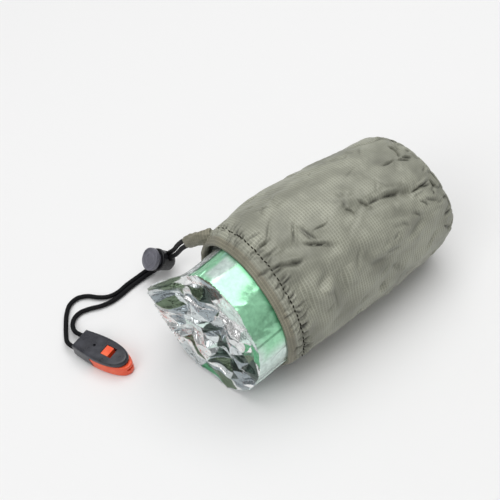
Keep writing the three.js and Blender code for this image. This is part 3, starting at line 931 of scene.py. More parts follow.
    def relief(self, x: np.ndarray, angle: np.ndarray, radius: np.ndarray) -> tuple[np.ndarray, np.ndarray]:
        """How far folds and creases push the cloth out, and how much painted shade each place gets in the
        hollows of creases and crumples.

        Args:
            x: places along the sack, in mm.
            angle: places around it.
            radius: the sack's radius there.

        Returns:
            The push in mm, and the painted shade's share from 0 to 1.
        """
        low = math.radians(self.underside_deg)
        wrapped = (angle - low) % TURN + low - TURN
        out, dark = np.zeros_like(x), np.zeros_like(x)
        for fold in self.folds:
            side, _, over = self.near(fold, x, wrapped, radius)
            out += fold.depth * np.exp(-((np.hypot(side, over) / fold.width) ** 2))
        for crease in self.all_creases():
            side, share, over = self.near(crease, x, wrapped, radius)
            side = side + 0.22 * np.sin(TURN * share + crease.from_deg)
            fade = np.exp(-((over / crease.width) ** 2)) * (4 * share * (1 - share) + 0.03) ** 0.7
            trough = np.exp(-((side / crease.width) ** 2)) * fade
            lip = np.exp(-(((side - 1.9 * crease.width) / (1.2 * crease.width)) ** 2)) * fade
            out += self.crease_depth * crease.depth * (0.75 * lip - trough)
            # Painted shade, darkest in narrow, deep troughs
            dark = np.maximum(dark, trough**2 * min(crease.depth / 1.1, 1) / max(crease.width, 1) ** 1.5)
        girth = TURN * self.usual_radius
        soft = Crumple(self.seed, self.map_length, girth, self.crumple, False).at(x, angle)
        fine = Crumple(self.seed + 4, self.map_length, girth, self.creped, True).at(x, angle)
        free = 1 - 0.2 * smooth_step(self.stitch_x, self.stitch_x - 2, x)
        return out + (soft + fine) * free, np.maximum(dark, 0.22 * smooth_step(-0.2, -1.0, soft) * free)

    @staticmethod
    def near(
        fold: Crease, x: np.ndarray, angle: np.ndarray, radius: np.ndarray
    ) -> tuple[np.ndarray, np.ndarray, np.ndarray]:
        """Where places lie against a fold's line.

        Args:
            fold: the fold.
            x: places along the sack, in mm.
            angle: places around it.
            radius: the sack's radius there.

        Returns:
            The distance to the fold's side, the share along it, and the distance past its ends.
        """
        from_around, to_around = math.radians(fold.from_deg) * radius, math.radians(fold.to_deg) * radius
        dx, da = fold.to_x - fold.from_x, to_around - from_around
        length = np.hypot(dx, da)
        px, pa = x - fold.from_x, angle * radius - from_around
        along = (px * dx + pa * da) / length
        side = (px * da - pa * dx) / length
        side = np.where(da < 0, -side, side)
        return side, np.clip(along / length, 0, 1), np.maximum(-along, 0) + np.maximum(along - length, 0)

    def point(
        self, x: np.ndarray, angle: np.ndarray, out: np.ndarray, push: np.ndarray
    ) -> np.ndarray:
        """Places on the sack, off its outer face by out and pushed by the folds.

        Args:
            x: places along the sack, in mm.
            angle: places around it.
            out: distance off the outer face.
            push: what relief gives there.

        Returns:
            The points, in mm in the sack's own axes.
        """
        r = column(self.sections, "radius", x) + out + push
        y = column(self.sections, "y", x) + r * np.cos(angle)
        z = column(self.sections, "z", x) + r * np.sin(angle)
        return np.stack((x + self.lean(x, angle), y, np.maximum(z, np.maximum(-out, 0))), -1)

    def profile(self) -> np.ndarray:
        """The cloth's section along the sack: outer face, hem round the mouth, inner face.

        Returns:
            Rows of x and distance off the outer face.
        """
        start = self.hem[0]
        count = round((self.base_seam_x - start.x) / self.row_step)
        outer = np.column_stack((np.linspace(self.base_seam_x, start.x, count), np.zeros(count)))
        outer[:, 1] = start.out * smooth_step(start.x + 3, start.x, outer[:, 0])
        hem = curve_through([(p.x, p.out, 0) for p in self.hem], 0.6)[1:, :2]
        inner_x = np.linspace(self.hem[-1].x, self.base_seam_x, 26)[1:]
        inner = np.column_stack((inner_x, np.full(len(inner_x), -self.cloth)))
        return np.vstack((outer, hem, inner))

    def groove(self, x: np.ndarray) -> np.ndarray:
        """How deep the stitches and the lip's fold draw the cloth in, in mm."""
        lines = ((self.stitch_x, self.stitch_groove), (self.lip_x, self.lip_groove))
        return sum(depth * np.exp(-(((x - at) / self.groove_width) ** 2)) for at, depth in lines)

    def tube(self) -> bpy.types.Object:
        """The sack's body with its rolled hem, as one closed sheet of cloth.

        Returns:
            The body, without its beak.
        """
        profile = self.profile()
        angle = self.angles()
        x, turn = np.meshgrid(profile[:, 0], angle, indexing="ij")
        out = np.broadcast_to(profile[:, 1:2], x.shape)
        push, dark = self.relief(x, turn, column(self.sections, "radius", x))
        inside = (out <= -1) & (x > self.stitch_x)
        push = np.where(inside, np.minimum(push, 0.6) * 0.8, push - self.groove(x) * (out > -1))
        grid = GridMesh("sack_cloth", self.point(x, turn, out, push), closes=True)
        grid.unroll(self.grid_girth, lengths_along(profile), angle)
        in_hem = smooth_step(self.lip_x + 0.5, self.lip_x - 1, x)
        grid.values = {"crease": np.clip(dark, 0, 1), "hem": in_hem}
        return grid.build()

    def beak(self) -> tuple[bpy.types.Object, bpy.types.Object]:
        """The hem's end, pulled forward into a flat tube, and the pocket that the strands leave it by.

        Returns:
            The tube and the pocket's cutting solid.
        """
        line = curve_through(self.beak_route, 0.4)
        tube = oval_tube(
            "beak", line, self.beak_across, self.beak_half_width, self.beak_half_height, 64, self.beak_gather
        )
        back = unit(line[-1] - line[-2])
        bore = np.array([line[-1] - back * self.pocket_depth, line[-1] + back])
        wide = self.beak_half_width[1] - self.pocket_wall
        high = self.beak_half_height[1] - self.pocket_wall
        return tube, oval_tube("pocket", bore, self.beak_across, (wide, wide), (high, high), 48, 0)

    def base_relief(self, share: np.ndarray, turn: np.ndarray) -> tuple[np.ndarray, np.ndarray]:
        """How far puckers and creases push the base panel, and how much painted shade each place gets in
        their hollows.

        Args:
            share: how far out each place is, from 0 at the panel's middle to 1 at its edge.
            turn: places around it.

        Returns:
            The push in mm, and the painted shade's share from 0 to 1.
        """
        radius = self.sections[-1].radius
        rng = np.random.default_rng(self.seed + 1)
        push, dark = np.zeros_like(share), np.zeros_like(share)
        for _ in range(self.seam_puckers):
            at, reach, depth = rng.uniform(0, TURN), rng.uniform(0.06, 0.4), rng.uniform(0.15, 0.8)
            swing = at + rng.normal(0, 0.25) * (1 - share)
            side = np.angle(np.exp(1j * (turn - swing))) * share * radius
            trough = np.exp(-((side / 1.3) ** 2)) * smooth_step(1 - reach, 1, share)
            push -= depth * trough
            dark = np.maximum(dark, depth * trough**2 * 0.7)
        for _ in range(self.base_creases):
            y0, z0, slant = rng.uniform(-26, 26), rng.uniform(-26, 26), rng.uniform(0, TURN)
            y, z = share * radius * np.cos(turn) - y0, share * radius * np.sin(turn) - z0
            side = y * math.sin(slant) - z * math.cos(slant)
            over = np.maximum(np.abs(y * math.cos(slant) + z * math.sin(slant)) - rng.uniform(4, 12), 0)
            trough = np.exp(-((side / 1.8) ** 2) - (over / 2.5) ** 2)
            push -= 0.5 * trough
            dark = np.maximum(dark, 0.2 * trough**2)
        return push, np.clip(dark, 0, 1)

    def base(self) -> bpy.types.Object:
        """The round base panel: a dished disc of cloth, gathered a little at its seam.

        Returns:
            The panel.
        """
        edge = self.sections[-1]
        shares = np.concatenate((np.linspace(0, 0.9, 34), np.linspace(0.91, 1, 12)))
        share, turn = np.meshgrid(np.concatenate((shares, shares[::-1])), self.angles(), indexing="ij")
        inner = np.repeat((1.0, 0.0), len(shares))[:, None]
        push, dark = self.base_relief(share, turn)
        turned_in = np.maximum(share - self.base_edge_from, 0) / (1 - self.base_edge_from)
        rolled = self.base_edge_depth * (1 - np.sqrt(np.clip(1 - turned_in**2, 0, 1)))
        x = self.base_seam_x + self.gap + self.cloth * (1 - inner) + self.base_dome * (1 - share**2.4)
        x = x + push * (1 - 0.6 * inner) - rolled * (1 - inner)
        x = x + share * self.lean(np.full_like(x, self.base_seam_x), turn)
        radius = share * (edge.radius - self.gap)
        y = edge.y + radius * np.cos(turn)
        z = np.maximum(edge.z + radius * np.sin(turn), 0)
        grid = GridMesh("sack_base_panel", np.stack((x, y, z), -1))
        grid.map_end_on()
        grid.values = {"crease": dark, "hem": np.zeros_like(share)}
        return grid.build()

    def line_at(self, x: float, out: float) -> np.ndarray:
        """A line around the sack at x, off the cloth's face by out, for stitches.

        Args:
            x: the place along the sack, in mm.
            out: the distance off the face, in mm.

        Returns:
            The line's points.
        """
        angle = self.angles()
        xs = np.full_like(angle, x)
        push, _ = self.relief(xs, angle, column(self.sections, "radius", xs))
        return self.point(xs, angle, np.full_like(angle, out), push - self.groove(xs))

    def build(self, cloth: bpy.types.Material, thread: bpy.types.Material) -> bpy.types.Object:
        """Args:
            cloth: the ripstop's finish.
            thread: the sewing thread's finish.

        Returns:
            The sack's body.
        """
        body = self.tube()
        tube, pocket = self.beak()
        combine(body, tube, Step.JOIN)
        combine(body, pocket, Step.CUT, self.pocket_sharp_deg)
        show(body, cloth)
        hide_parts("sack_body")
        base = show(self.base(), cloth)
        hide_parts("sack_base")
        sewing = StitchRow(self.stitch_pitch, self.stitch_length, self.stitch_width, thread)
        stitches = sewing.sew("hem_stitches", self.line_at(self.stitch_x, self.stitch_out))
        hem_row = show(stitches, thread)
        return body


def oval_tube(
    name: str, line: np.ndarray, across: Triple, wide: Pair, high: Pair, facets: int, gather: float
) -> bpy.types.Object:
    """A closed tube of oval section along a line, its long side kept along one direction.

    Args:
        name: the piece's name.
        line: the points it follows, in mm.
        across: the direction of its long side.
        wide: half its width at the two ends.
        high: half its height at the two ends.
        facets: points around it.
        gather: depth of the small gathers round it.

    Returns:
        The tube.
    """
    share = np.linspace(0, 1, len(line))[:, None, None]
    tangent = unit(np.gradient(line, axis=0))
    long = unit(np.asarray(across) - tangent * (tangent @ np.asarray(across))[:, None])
    short = np.cross(tangent, long)
    angle = ring_angles(facets)[None, :, None]
    length = lengths_along(line)
    at = length[:, None, None]
    ruck = 1 + gather * (0.6 * np.sin(angle * 5 + at * 0.5) + 0.4 * np.sin(angle * 9 - at * 0.8 + 1))
    half_wide = (wide[0] + (wide[1] - wide[0]) * share) * ruck
    half_high = (high[0] + (high[1] - high[0]) * share) * ruck
    rings = (
        line[:, None]
        + long[:, None] * half_wide * np.cos(angle)
        + short[:, None] * half_high * np.sin(angle)
    )
    grid = GridMesh(name, capped(rings, line))
    along = np.concatenate(((0,), length, length[-1:]))
    grid.unroll(TURN * (wide[0] + high[0]) / 2, along, ring_angles(facets))
    cloth_shape = grid.rings.shape[:2]
    grid.values = {"crease": np.zeros(cloth_shape), "hem": np.ones(cloth_shape)}
    return grid.build()


# The film sleeping bag

@dataclass
class FilmBag:
    """The rolled film sleeping bag: its wound side, its folded layers' edges and its crumpled end."""

    around: int = 400
    rim_x: float = -84.0
    rim_step: int = 8  # points of the rim between two corners of the end's facets
    floor: float = 1.5
    radius: float = 38.0
    sacked_from_x: float = -60.0
    inner_end_x: float = 63.0
    inner_dome: float = 3.0
    layer_edge_deg: float = 0.7
    flap_out: float = 4.4  # how far the rim flares out at the film's loose corner
    flap_deg: float = 46.0
    flap_spread_deg: float = 24.0
    wrinkles: int = 46
    end_rows: int = 110
    fold_corners: int = 300
    fold_depth: float = 1.3
    small_corners: int = 1500
    small_depth: float = 0.2
    stretch: float = 2.2  # how much longer the facets are than high
    sharp_deg: float = 32.0
    seed: int = 5
    hidden_rows: tuple[float, ...] = (60, 50, 34, 10, -20, -46, -58)
    end_middle: Pair = (1.0, 34.0)

    sections: tuple[Section, ...] = (
        Section(-112, 37.6, 0.4, 38), Section(-84, 37.6, 0.4, 38), Section(-66, 38, 0, 41.3),
        Section(-46, 41.3, 1, 43.2), Section(-20, 42, 1.8, 43.4), Section(10, 41.8, 2, 43.2),
        Section(44, 39, 2.6, 41.8), Section(60, 34, 3, 41.8),
    )
    # Corners of the main facets: first those on the rim, by y and z, then those inside it
    rim: tuple[Pair, ...] = (
        (-90, 13), (-76, 15), (-60, 16), (-42, 17), (-24, 18), (-6, 20), (12, 22), (30, 25), (44, 25.5),
        (52, 23), (58, 9), (68, 5), (80, 3), (92, 1.5), (108, 1), (124, 0), (140, 0.5), (156, 0), (172, 1),
        (188, 2.5), (204, 4.5), (220, 7), (236, 9.5), (252, 12),
    )
    corners: tuple[FilmPoint, ...] = (
        FilmPoint(25, 55, 10), FilmPoint(32, 28, 17.5), FilmPoint(14, 39, 11), FilmPoint(6, 66, 3),
        FilmPoint(4, 55, 5.5), FilmPoint(-2, 53, 1.5), FilmPoint(19, 23, 11), FilmPoint(4, 32, 9),
        FilmPoint(-8, 34, 3), FilmPoint(-14, 33, 4.5), FilmPoint(22, 10, 15.5), FilmPoint(8, 9, 15),
        FilmPoint(-2, 20, 11.5), FilmPoint(-14, 20, 5), FilmPoint(-24, 26, 5.5), FilmPoint(-16, 9, 8),
        FilmPoint(-18, 56, 1.5), FilmPoint(-10, 64, 3.5), FilmPoint(-26, 44, 2), FilmPoint(30, 44, 21),
        FilmPoint(16, 62, 6.5), FilmPoint(10, 46, 7.5), FilmPoint(-16, 44, 3.5), FilmPoint(11, 18, 13.5),
        FilmPoint(-6, 44, 1), FilmPoint(24, 64, 15), FilmPoint(-5, 10, 12.5),
    )
    # Tones of the crumpled end, print and bare metal with painted reflections and painted shade: the places,
    # by y and z, that show each
    end_tones: tuple[tuple[Tone, tuple[Pair, ...]], ...] = (
        (Tone.OLIVE, ((25, 66), (36, 42), (28, 46), (0, 46))),
        (Tone.SILVER, ((30, 60), (18, 50), (12, 42), (26, 20), (0, 27), (3, 5), (18, 5))),
        (Tone.SLATE, ((34, 52), (24, 38), (7, 50), (-9, 40), (-16, 28), (-8, 15), (-25, 18))),
        (Tone.WHITE, (
            (35, 34), (18, 66), (14, 58), (-8, 58), (-18, 50), (30, 12), (15, 14), (8, 22), (-12, 4),
        )),
        (Tone.DARK, ((4, 60), (2, 38), (-8, 27), (-16, 14), (-30, 28))),
        (Tone.MINT, ((-18, 64), (-26, 54))),
        (Tone.DEEP_GREEN, ((-30, 38),)),
    )
    # Tones of the roll's side: green print and bare silver, with painted reflections in the white, mint and
    # lilac patches and painted shade in the dark bands
    side_tones: tuple[Patch, ...] = (
        Patch(-74, 100, Tone.GREEN, 60, 60), Patch(-74, 190, Tone.MINT, 30, 22),
        Patch(-68, 150, Tone.GREEN, 12, 22), Patch(-64, 120, Tone.DEEP_GREEN, 4, 40),
        Patch(-66, 72, Tone.LILAC, 4, 6), Patch(-80, 62, Tone.SILVER, 40, 7),
        Patch(-80, 55, Tone.DARK, 40, 2), Patch(-80, 50, Tone.SILVER, 40, 4),
        Patch(-80, 45, Tone.DEEP_GREEN, 40, 3), Patch(-80, 38, Tone.WHITE, 40, 6),
        Patch(-98, 50, Tone.OLIVE, 9, 9), Patch(-106, 42, Tone.SILVER, 5, 12),
        Patch(-80, 69, Tone.DEEP_GREEN, 40, 1.6), Patch(-80, 74, Tone.GREEN, 40, 4),
        Patch(-76, 88, Tone.MINT, 7, 6), Patch(-78, 220, Tone.MINT, 30, 20),
        Patch(-84, 250, Tone.SILVER, 40, 16), Patch(-80, 10, Tone.SILVER, 40, 24),
    )
    # Edges of the outer layers, as a height and degrees: the film steps down past each
    layers: tuple[Pair, ...] = (
        (75.5, 0.7), (70.5, 0.6), (64, 0.8), (55.5, 0.9), (47, 0.6), (40, 0.7), (161, 0.35), (205, 0.5),
    )

    def rim_out(self, angle: np.ndarray) -> np.ndarray:
        """How far the rim stands out at an angle, straight between the rim's rows."""
        table = np.array(self.rim)
        return np.interp(np.degrees(angle), table[:, 0], table[:, 1], period=360)

    def side_point(self, x: np.ndarray, angle: np.ndarray, wrinkle: np.ndarray) -> np.ndarray:
        """Places on the roll's side.

        Args:
            x: places along the roll, in mm.
            angle: places around it.
            wrinkle: how far wrinkles push each place out.

        Returns:
            The points, in mm in the sack's own axes.
        """
        degrees = np.degrees(angle)
        bare = smooth_step(self.sacked_from_x, self.sacked_from_x - 4, x)
        step = sum(
            -height * 0.5 * np.tanh((at - degrees) / self.layer_edge_deg) * bare for at, height in self.layers
        )
        flap = np.exp(-(((degrees - self.flap_deg) / self.flap_spread_deg) ** 2))
        flare = self.flap_out * smooth_step(self.rim_x - 2, self.rim_x - 22, x) * flap
        r = column(self.sections, "radius", x) + (step + wrinkle) * bare + flare
        y = column(self.sections, "y", x) + r * np.cos(angle)
        z = column(self.sections, "z", x) + r * np.sin(angle)
        return np.stack((x, y, np.maximum(z, np.where(x > self.sacked_from_x, self.floor, 0.0))), -1)

    def side_wrinkle(self, x: np.ndarray, angle: np.ndarray) -> np.ndarray:
        """Fine creases on the roll's side, most of them along it.

        Args:
            x: places along the roll, in mm.
            angle: places around it.

        Returns:
            The push at each place, in mm.
        """
        rng = np.random.default_rng(self.seed)
        push = np.zeros_like(x)
        for _ in range(self.wrinkles):
            at, where, slant = rng.uniform(0, TURN), rng.uniform(-92, -60), rng.normal(0, 0.35)
            side = np.angle(np.exp(1j * (angle - at))) * self.radius - slant * (x - where)
            over = np.maximum(np.abs(x - where) - rng.uniform(3, 14), 0)
            width, depth = rng.uniform(0.7, 2.4), rng.uniform(-0.35, 0.3)
            push += depth * np.exp(-((side / width) ** 2) - (over / 3) ** 2)
        return push

    def build(self, film: bpy.types.Material) -> bpy.types.Object:
        """Builds the roll and lets it stand for its solid.

        Args:
            film: the film's finish.

        Returns:
            The roll.
        """
        angle = ring_angles(self.around)
        rng = np.random.default_rng(self.seed + 3)
        rim = self.rim_x - (self.rim_out(angle) + rng.normal(0, 0.25, self.around))
        rows = [np.full_like(angle, x) for x in self.hidden_rows]
        for share in np.concatenate((np.linspace(0, 0.97, 44), (0.985, 1.0))):
            rows.append(self.sacked_from_x + (rim - self.sacked_from_x) * share)
        x = np.array(rows)
        turn = np.broadcast_to(angle, x.shape)
        side = self.side_point(x, turn, self.side_wrinkle(x, turn))
        hidden = np.concatenate([
            self.shrunk(side[:1], share, self.inner_end_x - self.inner_dome * share)
            for share in (0.0, 0.5, 0.85)
        ])
        end, end_tone = self.crumpled_end(side[-1])
        rings = np.concatenate((hidden, side, end))
        hidden_tone = np.broadcast_to(np.array(linear(Tone.SILVER.value)), hidden.shape[:2] + (4,))
        bare = np.ones(rings.shape[:2])
        bare[len(hidden):len(hidden) + len(side)] = self.side_bare(turn)
        grid = GridMesh("film_bag", rings)
        grid.values = {"tone": np.concatenate((hidden_tone, self.side_tone(x, turn), end_tone)), "bare": bare}
        obj = show(grid.build(self.sharp_deg), film)
        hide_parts("film_roll")
        return obj

    @staticmethod
    def shrunk(ring: np.ndarray, share: float, x: float) -> np.ndarray:
        """A ring drawn in towards its middle, at x.

        Args:
            ring: one ring of points.
            share: how much of its size is left.
            x: where it stands.

        Returns:
            The new ring.
        """
        middle = ring.mean(axis=1, keepdims=True)
        made = middle + (ring - middle) * share
        made[..., 0] = x
        return made

    def side_tone(self, x: np.ndarray, angle: np.ndarray) -> np.ndarray:
        """The side's tones: print, bare metal, painted reflections and the painted shade between layers.

        Args:
            x: places along the roll, in mm.
            angle: places around it.

        Returns:
            A linear colour for each place.
        """
        degrees = np.degrees(angle)
        colour = np.broadcast_to(np.array(linear(Tone.SILVER.value)), x.shape + (4,)).copy()
        for patch in self.side_tones:
            near_x = np.abs(x - patch.x) / patch.reach_x
            near_deg = np.abs((degrees - patch.deg + 180) % 360 - 180) / patch.reach_deg
            share = smooth_step(1.45, 0.7, np.maximum(near_x, near_deg))[..., None]
            colour = colour * (1 - share) + np.array(linear(patch.tone.value)) * share
        return colour

    def side_bare(self, angle: np.ndarray) -> np.ndarray:
        """Where the roll's side shows bare metal: its far and under sides."""
        degrees = np.degrees(angle)
        return 1 - smooth_step(66, 72, degrees) * smooth_step(215, 205, degrees)

    def loose_facets(self, rng: np.random.Generator, count: int, depth: float) -> "Facets":
        """Facets between corners strewn over the end, on a y axis drawn in by the stretch.

        Args:
            rng: the random numbers.
            count: how many corners.
            depth: the spread of their heights, in mm.

        Returns:
            The facets.
        """
        y = rng.uniform(-48, 48, count) / self.stretch
        return Facets(list(zip(y, rng.uniform(-12, 88, count), rng.normal(0, depth, count))))

    def crumpled_end(self, rim: np.ndarray) -> tuple[np.ndarray, np.ndarray]:
        """The end's rings, from the rim inwards, on facets between the charted corners.

        Args:
            rim: the side's last ring.

        Returns:
            The rings and their tones.
        """
        middle_y, middle_z = self.end_middle
        shares = np.concatenate(((0.992,), np.linspace(0.975, 0, self.end_rows)))[:, None]
        y = middle_y + (rim[:, 1] - middle_y) * shares
        z = middle_z + (rim[:, 2] - middle_z) * shares
        on_rim = [(at_y, at_z, self.rim_x - at_x) for at_x, at_y, at_z in rim[::self.rim_step].tolist()]
        height, _ = Facets(on_rim + list(self.corners)).at(y, z)
        rng = np.random.default_rng(self.seed + 7)
        folds = self.loose_facets(rng, self.fold_corners, self.fold_depth)
        bent_y = (y + 1.7 * np.sin(z / 3.6 + 1) + 0.8 * np.sin(z / 1.6)) / self.stretch
        bent_z = z + 1.3 * np.sin(y / 4.1) + 0.6 * np.sin(y / 1.9 + 2)
        fold, fold_face = folds.at(bent_y, bent_z)
        fine, fine_face = self.loose_facets(rng, self.small_corners, self.small_depth).at(bent_y, bent_z)
        # Each facet gets a tone of the print or the bare metal, or a painted reflection or painted shade; the
        # glint is a painted reflection that makes it lighter or darker
        colour = self.end_tone(rng, folds)[fold_face]
        glint = rng.uniform(0.8, 1.15, len(folds.triangles))[fold_face] * (1 + 0.04 * np.sin(fine_face * 2.4))
        colour[..., :3] = np.clip(colour[..., :3] * glint[..., None], 0, 1)
        x = self.rim_x - height - (fold + fine) * smooth_step(0, 0.12, 1 - shares)
        return np.stack((x, y, z), -1), colour

    def end_tone(self, rng: np.random.Generator, folds: "Facets") -> np.ndarray:
        """Each facet's tone: that of the nearest charted place, but for a few that stray.

        Args:
            rng: the random numbers.
            folds: the facets.

        Returns:
            A linear colour for each facet.
        """
        centres = np.array([place for _, places in self.end_tones for place in places])
        tones = np.array([linear(tone.value) for tone, places in self.end_tones for _ in places])
        middles = folds.middles() * (self.stretch, 1)
        nearest = np.argmin(np.linalg.norm(middles[:, None] - centres[None], axis=2), axis=1)
        stray = rng.random(len(nearest)) < 0.25
        return tones[np.where(stray, rng.permutation(nearest), nearest)]


class Facets:
    """Flat triangles between charted corners, read as a height and a triangle at any place."""

    def __init__(self, corners: Sequence[Triple]) -> None:
        """Joins the corners into triangles.

        Args:
            corners: y, z and height of each corner.
        """
        flat = [Vector((y, z)) for y, z, _ in corners]
        places, _, faces, origin, _, _ = delaunay_2d_cdt(flat, [], [], 0, 1e-4)
        self.places = np.array([tuple(p) for p in places])
        self.heights = np.array([corners[source[0]][2] for source in origin])
        self.triangles = np.array([tuple(face) for face in faces])

    def middles(self) -> np.ndarray:
        """The middle of each triangle."""
        return self.places[self.triangles].mean(axis=1)

    def at(self, y: np.ndarray, z: np.ndarray) -> tuple[np.ndarray, np.ndarray]:
        """Reads the height and the triangle's number at places.

        Args:
            y: the places' y.
            z: the places' z.

        Returns:
            Heights and triangle numbers.
        """
        height = np.full(y.shape, np.nan)
        number = np.zeros(y.shape, dtype=int)
        for index, (a, b, c) in enumerate(self.triangles):
            pa, pb, pc = self.places[a], self.places[b], self.places[c]
            area = (pb[0] - pa[0]) * (pc[1] - pa[1]) - (pb[1] - pa[1]) * (pc[0] - pa[0])
            if abs(area) < 1e-9:
                continue
            wb = ((y - pa[0]) * (pc[1] - pa[1]) - (z - pa[1]) * (pc[0] - pa[0])) / area
            wc = ((pb[0] - pa[0]) * (z - pa[1]) - (pb[1] - pa[1]) * (y - pa[0])) / area
            inside = (wb >= -1e-6) & (wc >= -1e-6) & (wb + wc <= 1 + 1e-6)
            rise_b, rise_c = self.heights[b] - self.heights[a], self.heights[c] - self.heights[a]
            height = np.where(inside, self.heights[a] + wb * rise_b + wc * rise_c, height)
            number = np.where(inside, index, number)
        missing = np.isnan(height)
        if missing.any():
            spots = np.stack((y[missing], z[missing]), -1)
            closest = np.argmin(np.linalg.norm(spots[:, None] - self.places[None], axis=2), axis=1)
            height[missing] = self.heights[closest]
            middles = self.middles()
            number[missing] = np.argmin(np.linalg.norm(spots[:, None] - middles[None], axis=2), axis=1)
        return height, number


# The drawcord

@dataclass
class Drawcord:
    """The two strands of braided cord, from the beak through the lock to the whistle."""

    radius: float = 1.5
    facets: int = 32
    row_step: float = 0.42
    carriers: int = 8
    braid_pitch: float = 7.5  # mm along the cord for one turn of a yarn
    braid_depth: float = 0.17

    strand_a: tuple[Triple, ...] = (
        (-69.2, 47.2, 63.4), (-70, 50, 60.7), (-70, 54.9, 55.7), (-69.3, 61.5, 48.3), (-68.2, 69, 39.2),
        (-66.8, 76.7, 29.6), (-65.7, 83.4, 21.9), (-66.1, 88.4, 16.5), (-70.1, 91.6, 11.7),
        (-74.1, 94.8, 7), (-80.2, 97.9, 3.1), (-88.6, 98.3, 1.8), (-98, 97.5, 1.8), (-105.7, 96.1, 1.8),
        (-112.4, 97.2, 1.8), (-118, 101.6, 1.8), (-122.8, 107.6, 1.8), (-128.8, 110.8, 1.8),
        (-135.4, 109.4, 1.8), (-141.2, 103.6, 1.8), (-146, 96, 1.8), (-150.2, 88, 2.4), (-152.6, 81.2, 4.2),
        (-152.4, 75.4, 5.6), (-151, 71, 5.8),
    )
    strand_b: tuple[Triple, ...] = (
        (-68.8, 44.8, 60.9), (-69.6, 47.6, 58.1), (-69.8, 52.3, 53.3), (-69.3, 58.9, 46.1),
        (-68.4, 66.2, 37.2), (-67.4, 73.7, 28), (-66.7, 80.4, 20.5), (-67.2, 85.3, 15.3),
        (-71.2, 88.5, 10.6), (-75.2, 91.7, 5.8), (-81, 94.5, 2.7), (-89, 94.9, 1.8), (-98, 94, 1.8),
        (-105.5, 92.7, 1.8), (-113, 92.2, 1.8), (-120.4, 93.8, 1.8), (-127.8, 97.2, 1.8), (-134, 98.6, 1.8),
        (-139.4, 96.6, 2), (-143.1, 91.6, 2.6), (-144.5, 85.4, 3.7), (-143.6, 79.8, 5), (-142, 75.6, 5.7),
        (-141.1, 71.4, 5.8),
    )

    def strand(self, name: str, route: Sequence) -> tuple[bpy.types.Object, np.ndarray]:
        """One braided strand as a tube.

        Args:
            name: the piece's name.
            route: the points it follows.

        Returns:
            The tube and its centre line.
        """
        line = curve_through(route, self.row_step)
        tangent = unit(np.gradient(line, axis=0))
        side = [np.cross(tangent[0], UP)]
        for step in tangent[1:]:
            side.append(side[-1] - step * (side[-1] @ step))
        side = unit(np.array(side))
        up = np.cross(tangent, side)
        angle = ring_angles(self.facets)[None]
        turns = np.arange(len(line))[:, None] * self.row_step / self.braid_pitch * TURN
        half = self.carriers / 2
        right = np.abs(np.cos(half * (angle + turns)))
        left = np.abs(np.cos(half * (angle - turns)))
        crown = np.maximum(right, left) ** 1.5
        radius = self.radius - self.braid_depth * (1 - crown)
        rings = line[:, None] + radius[..., None] * (
            side[:, None] * np.cos(angle)[..., None] + up[:, None] * np.sin(angle)[..., None]
        )
        grid = GridMesh(name, capped(rings, line))
        grid.values = {"crown": np.concatenate((crown[:1], crown, crown[-1:]))}
        return grid.build(), line

    def build(self, yarn: bpy.types.Material, carried: Sequence[bpy.types.Object]) -> None:
        """Builds both strands.

        Args:
            yarn: the braid's finish.
            carried: the lock's and the whistle's pieces; not used.
        """
        for letter, route in (("a", self.strand_a), ("b", self.strand_b)):
            obj, line = self.strand(f"drawcord_{letter}", route)
            show(obj, yarn)
            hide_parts(f"drawcord_strand_{letter}")


# The cord lock

